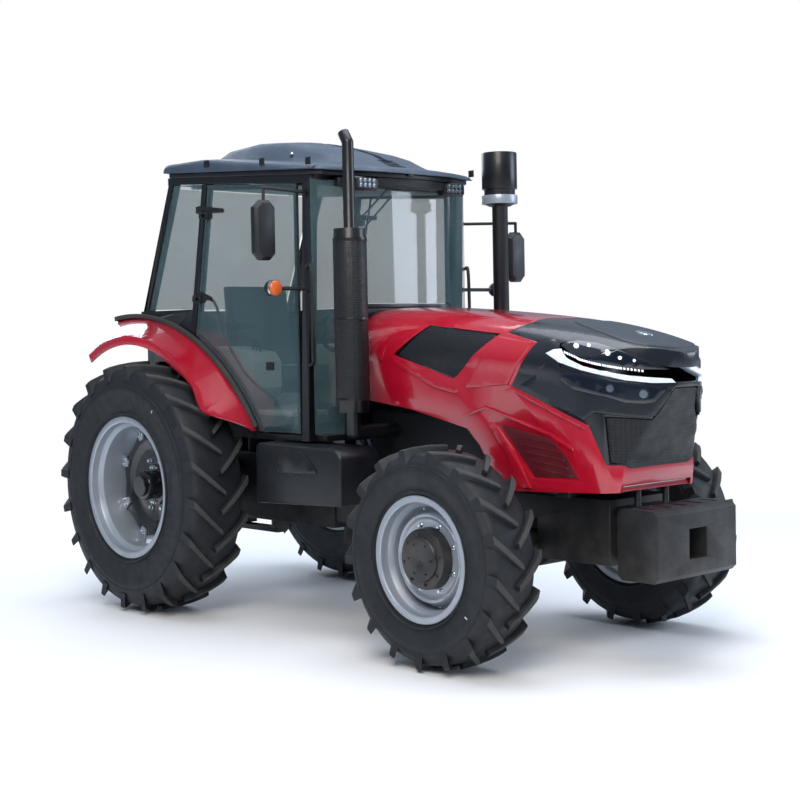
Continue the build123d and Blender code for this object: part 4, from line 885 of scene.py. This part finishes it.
def hood_louvres():
    """The recess in front of the wheel, with its slats, in enamel darkened as painted shade."""
    bm = bmesh.new()
    field = [(1395, 0, 1290), (1722, 0, 1228), (1850, 0, 1140), (1915, 0, 1018), (1625, 0, 1010),
            (1515, 0, 1140)]
    patch_bm(bm, HOOD, "side", field, -2, 2, 0, 60)
    for k in range(5):
        z = 1215 - 42 * k
        x0, x1 = 1500 + 30 * k, 1790 + 22 * k
        slat = ridge_line([(x0, 0, z + 14), (x1, 0, z - 22)], 12, "side")
        patch_bm(bm, HOOD, "side", slat, -2, 6, 0, 60, 5)
    mirrored(bm)
    # recess and slats take the red enamel darkened as painted shade
    hood_piece(bm, "hood_louvres", "dark_red", (), 0.0015)


def nose_cap():
    """Matt cap over the nose, with a bare plaque."""
    bm = bmesh.new()
    tip = [(1700, 0), (1716, -160), (1800, -203), (1927, -233), (2050, -250), (2128, -256), (2208, -236),
            (2258, -208), (2304, -146), (2326, -80), (2330, 0)]
    tip = [(x, y, 0) for x, y in tip] + [(x, -y, 0) for x, y in reversed(tip[1:-1])]
    patch_bm(bm, HOOD, "top", tip, -3, 6, 0, 50, 12)
    hood_piece(bm, "nose_cap", "nose_cap")
    bm = bmesh.new()
    plaque = [(2075 + 55 * math.cos(a), 40 * math.sin(a), 0) for a in [k * math.pi / 12 for k in range(24)]]
    patch_bm(bm, HOOD, "top", plaque, 2, 10, 0, 30, 5)
    hood_piece(bm, "nose_blank_plaque", "chrome", (), 0.001)


def head_lamps():
    """Surrounds, lenses, light strips and lit elements."""
    bm = bmesh.new()
    bezel = [(1716, -359, 1752), (1794, -365, 1733), (1660, -413, 1566), (1540, -415, 1506),
            (1727, -403, 1424), (1975, -387, 1324)]
    bezel += [(2035, -371, 1365), (2149, -313, 1352), (2240, -233, 1340), (2270, -171, 1352),
            (2303, -131, 1415), (2340, -105, 1482)]
    bezel += [(2290, -192, 1500), (2180, -291, 1508), (2000, -383, 1560), (1830, -405, 1610),
            (1790, -395, 1680), (1815, -383, 1722), (1770, -375, 1760)]
    patch_bm(bm, HOOD, "corner", bezel, -3, 8, 0, 40, 8)
    mirrored(bm)
    hood_piece(bm, "lamp_surrounds", "nose")

    bm = bmesh.new()
    lens = [(1806, -373, 1722), (1850, -353, 1740), (1894, -333, 1746), (2012, -317, 1734),
            (2125, -290, 1702), (2232, -251, 1657), (2342, -122, 1588)]
    lens += [(2251, -237, 1592), (2151, -311, 1603), (2039, -370, 1631), (1908, -391, 1672)]
    patch_bm(bm, HOOD, "corner", lens, -3, 9, 0, 40, 6)
    mirrored(bm)
    hood_piece(bm, "head_lamp_lenses", "dark_lens", ("hood_lamps",))

    bm = bmesh.new()
    strip = [(1731, -406, 1681), (1774, -392, 1701), (1821, -383, 1704), (1850, -395, 1676),
            (1874, -400, 1656), (1973, -389, 1615), (2099, -346, 1582)]
    strip += [(2201, -275, 1561), (2292, -191, 1549), (2345, -117, 1542), (2352, -95, 1520),
            (2285, -201, 1521), (2181, -290, 1536), (2077, -359, 1563)]
    strip += [(1959, -393, 1594), (1823, -410, 1637)]
    patch_bm(bm, HOOD, "corner", strip, -3, 13, 0, 35, 7)
    mirrored(bm)
    hood_piece(bm, "light_strips", "strip")
    bm = bmesh.new()
    path = [Vector(p) for p in ((1862, -392, 1682), (1960, -393, 1649), (2039, -370, 1627),
            (2110, -339, 1611), (2165, -304, 1600), (2250, -239, 1585))]
    for k in range(30):
        t = k / 29 * (len(path) - 1)
        i = min(int(t), len(path) - 2)
        p = path[i].lerp(path[i + 1], t - i)
        ahead = (path[i + 1] - path[i]).normalized() * 5
        cell = [tuple(p - ahead + Vector((0, 0, 7))), tuple(p + ahead + Vector((0, 0, 5))),
                tuple(p + ahead - Vector((0, 0, 5))), tuple(p - ahead - Vector((0, 0, 5)))]
        patch_bm(bm, HOOD, "corner", cell, 6, 12, 0, 30)
    for x, y, z, r in ((1925, -372, 1715, 13), (1985, -345, 1716, 9), (2085, -322, 1680, 13),
            (2150, -300, 1655, 10), (2215, -262, 1640, 8)):
        cell = [(x + 0.678 * r * math.cos(a), y + 0.735 * r * math.cos(a),
                z + r * math.sin(a)) for a in [k * math.pi / 5 for k in range(10)]]
        patch_bm(bm, HOOD, "corner", cell, 6, 11, 0, 40)
    mirrored(bm)
    keep(finished(bm), "lamp_elements", ["lit"], "hood", (), 40)


def fog_lamps():
    """Lower pods, each with two round lamps."""
    bm = bmesh.new()
    pod = [(1827, -407, 1549), (1850, -406, 1572), (1884, -404, 1583), (1985, -386, 1577),
            (2119, -332, 1546), (2250, -237, 1519), (2335, -128, 1496), (2291, -192, 1420)]
    pod += [(2255, -225, 1412), (2180, -291, 1416), (2075, -359, 1452), (1912, -400, 1492)]
    patch_bm(bm, HOOD, "corner", pod, 2, 12, 0, 40, 9)
    mirrored(bm)
    hood_piece(bm, "fog_lamp_pods", "dark_lens")
    bm = bmesh.new()
    for x, y, z, r in ((2114, -336, 1497, 26), (2252, -236, 1466, 30)):
        for r0, low, high, mat in ((r, 8, 17, 1), (r * 0.8, 10, 19, 0)):
            ring = [(x + 0.678 * r0 * math.cos(a), y + 0.735 * r0 * math.cos(a),
                    z + r0 * math.sin(a)) for a in [k * math.pi / 10 for k in range(20)]]
            patch_bm(bm, HOOD, "corner", ring, low, high, mat, 60, 3)
    mirrored(bm)
    keep(finished(bm), "fog_lamps", ["mirror", "trim"], "hood", (), 40)


side_windows()
grille_screen()
hood_pressings()
hood_louvres()
nose_cap()
head_lamps()
fog_lamps()


# Cab: roof shell, lamps, mirrors, door gear, wipers and rubber strips
ROOF_EDGE = ((-1450, 0), (-1450, -560), (-1440, -625), (-1412, -668), (-1360, -690), (-700, -692),
        (60, -690), (125, -672),
             (172, -625), (212, -510), (262, -400), (308, -280), (324, -140), (330, 0))
SLAB = ((-1450, 2978), (-1400, 2996), (-980, 2992), (-400, 2919), (160, 2846), (330, 2812))
DOME = ((-1450, 2800), (-1345, 2952), (-1290, 3030), (-1150, 3074), (-850, 3090), (-560, 3070),
        (-100, 2962), (250, 2800), (330, 2760))


# centre of the arch where fender and cab meet, as x and z
ARCH = (-1863, 315)


def level(table, x):
    """A height read from a table of (x, z)."""
    for (x0, z0), (x1, z1) in zip(table, table[1:]):
        if x <= x1:
            return z0 + (z1 - z0) * (max(x, x0) - x0) / (x1 - x0)
    return table[-1][1]


def roof_under(x):
    """Underside of the roof shell."""
    return 2828 + (x + 1355) * (-102 / 1436) + 76


def roof_height(x, y):
    """Top of the roof: a crowned slab with a long dome that grows out of it."""
    slab = level(SLAB, x) - 34 * (abs(y) / 690) ** 2.4
    over = max(0.0, abs(y) - 300) / 110
    dome = level(DOME, x) - 26 * (abs(y) / 385) ** 2 - 95 * over ** 2.0
    share = max(0.0, min(1.0, 0.5 + 0.5 * (dome - slab) / 16))
    return slab + (dome - slab) * share + 16 * share * (1 - share) * 0.5


def roof_shell():
    """The roof as one smooth moulding with a rounded edge, its clips, vent and fitting."""
    side = smooth_line([(x, y, 0) for x, y in ROOF_EDGE], 5)
    right = [(p[0], p[1]) for p in side]
    ring = right + [(x, -y) for x, y in reversed(right[1:-1])]
    bm = bmesh.new()
    rows = []
    radius = 34.0
    for x, y in ring:
        spine = (max(-1180.0, min(60.0, x)), 0.0)
        reach = math.hypot(x - spine[0], y)
        steps = [0, 3, 8, 15, 24, radius] + [radius + (reach - radius) * k / 22 for k in range(1, 22)]
        column = [bm.verts.new((x * MM, y * MM, roof_under(x) * MM))]
        for d in steps:
            px = x + (spine[0] - x) * d / reach
            py = y * (1 - d / reach)
            drop = radius - math.sqrt(max(0.0, radius ** 2 - (radius - d) ** 2)) if d < radius else 0.0
            low = roof_under(px) + 6
            column.append(bm.verts.new((px * MM, py * MM, max(low, roof_height(px, py) - drop) * MM)))
        rows.append(column)
    count = len(rows)
    for k in range(count):
        a, b = rows[k], rows[(k + 1) % count]
        for i in range(len(a) - 1):
            bm.faces.new((a[i], b[i], b[i + 1], a[i + 1]))
    bm.faces.new([column[0] for column in rows])
    bm.faces.new([column[-1] for column in rows])
    keep(finished(bm), "cab_roof_shell", ["roof"], "chassis", ("cab_roof",), 40)

    bm = bmesh.new()
    for side in (-1, 1):
        for x, z, long in ((-914, 2925, 52), (-330, 2884, 44), (120, 2846, 44)):
            box_bm(bm, (x - long / 2, side * 694 - 5, z - 22), (x + long / 2, side * 694 + 5, z + 22))
    box_bm(bm, (306, -62, 2770), (322, -16, 2796))
    for x in (40, 70, 100, 130, 160):
        z = roof_height(x, -25)
        box_bm(bm, (x - 9, -60, z - 3), (x + 9, 60, z + 2))
    keep(finished(bm, 0.002), "roof_clips_and_vent", ["trim"], "chassis")
    bm = bmesh.new()
    z = roof_height(-413, -385)
    turn_bm(bm, [(z - 4, 1), (z - 4, 17), (z + 6, 17), (z + 10, 12), (z + 16, 11),
            (z + 19, 1)], (-413, -385, 0), "Z", 24, closed=False)
    keep(finished(bm), "roof_fitting", ["chrome"], "chassis")


def work_lamps():
    """Reflectors, lamp elements and lenses of the two roof work lamps."""
    bm = bmesh.new()
    for side in (-1, 1):
        y = 372 * side
        box_bm(bm, (283, y - 76, 2686), (286.4, y + 76, 2746), 0)
        for k in range(4):
            for row in (0, 1):
                centre = (0, y - 54 + 36 * k, 2702 + 29 * row)
                turn_bm(bm, [(286, 1), (286, 14.5), (290.5, 13), (288, 6),
                        (287, 1)], centre, "X", 18, 1, closed=False)
                turn_bm(bm, [(287, 1), (287, 5), (289, 4), (290, 1)], centre, "X", 12, 2, closed=False)
    keep(finished(bm), "work_lamp_faces", ["trim", "mirror", "lens"], "chassis")


def turn_lamps():
    """Amber lenses and chrome rings of the turn lamps on their arms."""
    bm = bmesh.new()
    for side in (-1, 1):
        centre = (0, side * 955, 2085)
        turn_bm(bm, [(106, 1), (106, 45), (118, 45), (126, 38), (131, 24),
                (133, 1)], centre, "X", 32, 0, closed=False)
        turn_bm(bm, [(98, 46), (98, 49.5), (112, 49.5), (112, 46)], centre, "X", 32, 1)
    keep(finished(bm), "turn_lamp_lenses", ["amber", "chrome"], "chassis")


def mirror_glass():
    """Silvered panes in the mirror heads."""
    bm = bmesh.new()
    for x, y, z, w, h in ((118, -1035, 2421, 150, 350), (273, 950, 2295, 150, 330)):
        outline = [(y + (w / 2 - 14) * sx + dx, z + (h / 2 - 14) * sz + dz)
                   for sx, sz, dx, dz in ((-1, -1, 0, 14), (-1, -1, 14, 0), (1, -1, -14, 0), (1, -1, 0, 14),
                                          (1, 1, 0, -14), (1, 1, -14, 0), (-1, 1, 14, 0), (-1, 1, 0, -14))]
        prism_bm(bm, outline, x - 28.5, x - 25.5, "X", 0)
    keep(finished(bm, 0.001), "mirror_panes", ["mirror"], "chassis")


def door_gear():
    """Hinge straps, latch and grab bar of each door."""
    for body, side in (("right_door", -1), ("left_door", 1)):
        bm = bmesh.new()
        for x0, z0, x1, z1 in ((-1086, 2639, -790, 2617), (-1098, 2077, -940, 2054)):
            strap = [(x0, z0 - 22), (x0 + 40, z0 - 26), (x1, z1 - 13), (x1 + 6, z1), (x1, z1 + 13),
                    (x0 + 40, z0 + 26), (x0, z0 + 22)]
            prism_bm(bm, strap, side * 657.6, side * 667, "Y")
            for share in (0.25, 0.6, 0.9):
                hex_bolt_bm(bm, (x0 + (x1 - x0) * share, side * 667, z0 + (z1 - z0) * share),
                        (0, side, 0), 8, 5)
        box_bm(bm, (-372, side * 662 - 5, 1590), (-300, side * 662 + 5, 1640))
        keep(finished(bm, 0.0015), body + "_straps", ["trim"], body)
        bm = bmesh.new()
        bar = [(-980, 2040), (-940, 1985), (-853, 1788), (-640, 1560), (-420, 1440), (-291, 1409),
                (-230, 1440)]
        points = smooth_line([(x, side * 618, z) for x, z in bar], 6)
        ends = [(-980, side * 640, 2050)] + [tuple(p) for p in points] + [(-222, side * 640, 1446)]
        tube_bm(bm, ends, 9.5, 12)
        keep(finished(bm), body + "_grab_bar", ["trim"], body)


def wipers():
    """Two wipers hung from the brow, and the front handrails."""
    bm = bmesh.new()
    for y0, y1, x0, x1 in ((-94, -352, 140, 104), (-10, -268, 142, 118)):
        tube_bm(bm, [(x0 + 30, y0, 2716), (x0 + 26, y0 - 20, 2690), (x1 + 22, y1 + 26, 2486),
                (x1 + 12, y1, 2459)], [9, 7, 5, 4], 8)
        blade = [(x1 + 14, y1 + 60, 2640), (x1 + 10, y1 - 12, 2300)]
        tube_bm(bm, blade, 6, 6)
    keep(finished(bm), "wipers", ["trim"], "chassis")
    bm = bmesh.new()
    for side in (-1, 1):
        rail = [(30, side * 650, 2205), (66, side * 672, 2222), (100, side * 672, 2180),
                (100, side * 672, 1700), (80, side * 655, 1640), (40, side * 648, 1620)]
        tube_bm(bm, [tuple(p) for p in smooth_line(rail, 5)], 11, 12)
    keep(finished(bm), "front_handrails", ["trim"], "chassis")


def inside():
    """Pale lining and console panels seen through the glass."""
    bm = bmesh.new()
    lining = [(-1290, 2812), (60, 2716), (60, 2704), (-1290, 2800)]
    prism_bm(bm, lining, -560, 560, "Y", 0)
    for side in (-1, 1):
        console = [(-1180, 1300), (-760, 1300), (-640, 1470), (-640, 1640), (-700, 1700), (-1000, 1740),
                (-1180, 1740)]
        prism_bm(bm, console, side * 330, side * 560, "Y", 0)
        low = [(-640, 1300), (-200, 1300), (-200, 1330), (-640, 1330)]
        prism_bm(bm, low, side * 330, side * 600, "Y", 0)
    keep(finished(bm, 0.018, 3), "cab_lining", ["inside"], "chassis")
    bm = bmesh.new()
    for side in (-1, 1):
        arm = [(-1240, 1850), (-900, 1850), (-880, 1870), (-900, 1900), (-1240, 1900)]
        prism_bm(bm, arm, side * 270, side * 330, "Y")
    for k, x in enumerate((-820, -780, -740)):
        tube_bm(bm, [(x, -430, 1690), (x + 8, -430, 1760), (x + 10, -430, 1790)], [7, 6, 14], 10)
    keep(finished(bm, 0.012, 3), "arm_rests_and_levers", ["trim"], "chassis")


def fender_dress():
    """The fenders with red tops and black undersides, the black both a liner and painted shade under the
    fender, and the rubber strip beside the cab.
    """
    mesh = with_bevel(node_mesh("fenders"), 0.0025, 2, 28.0)
    axle = Vector((REAR["x"], 0, REAR["r"])) * MM
    keep(mesh, "fenders_painted", ["red", "black"], "chassis", ("fenders",), 50)
    for face in mesh.polygons:
        away = face.center - axle
        away.y = 0.0
        # faces turned in towards the axle go black: a black liner, and also painted shade under the fender
        underside_liner_and_shade = face.normal.dot(away.normalized()) < -0.35
        face.material_index = 1 if underside_liner_and_shade else 0
    bm = bmesh.new()
    for side in (-1, 1):
        outline = []
        for radius, order in ((1630, range(0, 33)), (1662, range(32, -1, -1))):
            for k in order:
                a = math.radians(33.6 + (98.0 - 33.6) * k / 32)
                outline.append((ARCH[0] + radius * math.cos(a), ARCH[1] + radius * math.sin(a)))
        prism_bm(bm, outline, side * 656.5, side * 682, "Y")
    keep(finished(bm, 0.004, 3), "fender_rubber_strips", ["lug"], "chassis")


roof_shell()
work_lamps()
turn_lamps()
mirror_glass()
door_gear()
wipers()
inside()
fender_dress()


# Stacks and tanks
# stack places in plan, and how far out the tanks' side faces are
MUFFLER = (376, -600, 0)
INTAKE = (483, 580, 0)
TANK_SIDE = 800


def stacks():
    """Perforated guard and clamps of the muffler, and the silver ring of the intake bowl."""
    bm = bmesh.new()
    turn_bm(bm, [(1420, 97.5), (1420, 100.5), (2360, 100.5), (2360, 97.5)], MUFFLER, "Z", 64, 0)
    for z in (1408, 1880, 2352):
        turn_bm(bm, [(z, 97), (z, 103), (z + 22, 103), (z + 22, 97)], MUFFLER, "Z", 64, 1)
    keep(finished(bm, 0.001), "muffler_guard", ["guard", "black"], "chassis")
    bm = bmesh.new()
    turn_bm(bm, [(2614, 90), (2614, 113.2), (2668, 113.2), (2668, 90)], INTAKE, "Z", 48, 0)
    turn_bm(bm, [(2600, 50), (2600, 70), (2614, 96), (2614, 50)], INTAKE, "Z", 48, 1)
    keep(finished(bm, 0.001), "intake_bowl_ring", ["silver", "trim"], "chassis")


def tank_panels():
    """Bolted access panels on the outer faces of the tanks."""
    bm = bmesh.new()
    for side in (-1, 1):
        lid = [(-118, 1128), (120, 1128), (262, 1010), (262, 985), (-118, 972)]
        prism_bm(bm, lid, side * (TANK_SIDE - 1), side * (TANK_SIDE + 5), "Y")
        for x, z in ((-100, 1112), (0, 1114), (104, 1112), (240, 1004), (150, 984), (20, 980), (-100, 988)):
            hex_bolt_bm(bm, (x, side * (TANK_SIDE + 5), z), (0, side, 0), 6, 4)
    keep(finished(bm, 0.002), "tank_access_panels", ["black"], "chassis")


stacks()
tank_panels()


# Stage, light and camera
# the photograph's camera: place in metres, yaw, pitch and roll in degrees, lens in millimetres
PHOTO_SPOT = (7.094, -6.42, 1.805)
PHOTO_TURN = (137.30, -2.55, -1.14)
PHOTO_LENS = 67.46


def studio():
    """Pale floor, white surround, soft lamps, and the camera of the photograph."""
    scene = bpy.context.scene
    scene.view_settings.view_transform = "Standard"
    scene.view_settings.look = "None"
    mat, tree, shader, place = material("pale_floor")
    tree.links.new(mixed(tree, noise(tree, place, 900, 2), lin("#f4f4f5"), lin("#f8f8f9")),
            shader.inputs["Base Color"])
    shader.inputs["Roughness"].default_value = 0.9
    seen = add(tree, "ShaderNodeLightPath").outputs["Is Camera Ray"]
    far = add(tree, "ShaderNodeVectorMath", {0: place}, operation="LENGTH").outputs["Value"]
    fade = span(tree, far, 3.2, 6.5)
    white = add(tree, "ShaderNodeEmission", {"Color": (1, 1, 1, 1), "Strength": 1.0})
    share = maths(tree, "MULTIPLY", seen, fade)
    both_ = add(tree, "ShaderNodeMixShader", {0: share, 1: shader.outputs["BSDF"],
            2: white.outputs["Emission"]})
    out = [n for n in tree.nodes if n.type == "OUTPUT_MATERIAL"][0]
    tree.links.new(both_.outputs["Shader"], out.inputs["Surface"])
    bm = bmesh.new()
    bmesh.ops.create_grid(bm, x_segments=8, y_segments=8, size=30.0)
    mesh = bpy.data.meshes.new("floor")
    bm.to_mesh(mesh)
    bm.free()
    mesh.materials.append(mat)
    floor = bpy.data.objects.new("floor", mesh)
    scene.collection.objects.link(floor)

    world = bpy.data.worlds.new("surround")
    world.use_nodes = True
    tree = world.node_tree
    tree.nodes.clear()
    path = add(tree, "ShaderNodeLightPath")
    sky = add(tree, "ShaderNodeTexCoord").outputs["Generated"]
    height = add(tree, "ShaderNodeSeparateXYZ", {"Vector": sky}).outputs["Z"]
    tone = mixed(tree, span(tree, height, -0.1, 0.55), lin("#5f7488"), lin("#d3e2f2"))
    soft = add(tree, "ShaderNodeBackground", {"Color": tone, "Strength": 0.62})
    white = add(tree, "ShaderNodeBackground", {"Color": (1, 1, 1, 1), "Strength": 1.0})
    pick = add(tree, "ShaderNodeMixShader", {0: path.outputs["Is Camera Ray"], 1: soft.outputs[0],
            2: white.outputs[0]})
    add(tree, "ShaderNodeOutputWorld", {"Surface": pick.outputs["Shader"]})
    scene.world = world

    for name, spot, target, size, power, code in (
        ("key", (5.5, -6.5, 7.5), (0, 0, 1.2), 5.0, 620, "#fff6ee"),
        ("top", (0.5, 0.5, 9.0), (0, 0, 1.0), 7.0, 520, "#eef4ff"),
        ("left", (6.0, 7.0, 4.0), (0.5, 0, 1.0), 4.0, 260, "#e6f0ff"),
        ("back", (-8.0, 2.0, 5.0), (0, 0, 1.5), 5.0, 260, "#e8f0ff"),
    ):
        data = bpy.data.lights.new(name, "AREA")
        data.size = size
        data.energy = power
        data.color = lin(code)[:3]
        lamp = bpy.data.objects.new(name, data)
        lamp.location = spot
        lamp.rotation_euler = (Vector(target) - Vector(spot)).to_track_quat("-Z", "Y").to_euler()
        scene.collection.objects.link(lamp)

    yaw, pitch, roll = (math.radians(angle) for angle in PHOTO_TURN)
    ahead = Vector((math.cos(pitch) * math.cos(yaw), math.cos(pitch) * math.sin(yaw), math.sin(pitch)))
    right = ahead.cross(Vector((0, 0, 1))).normalized()
    up = right.cross(ahead)
    right_, up_ = right * math.cos(roll) + up * math.sin(roll), up * math.cos(roll) - right * math.sin(roll)
    data = bpy.data.cameras.new("photo_view")
    data.sensor_width = 36.0
    data.lens = PHOTO_LENS
    data.clip_end = 200.0
    camera = bpy.data.objects.new("photo_view", data)
    turn = Matrix((right_, up_, -ahead)).transposed().to_4x4()
    camera.matrix_world = Matrix.Translation(PHOTO_SPOT) @ turn
    scene.collection.objects.link(camera)
    scene.camera = camera


studio()
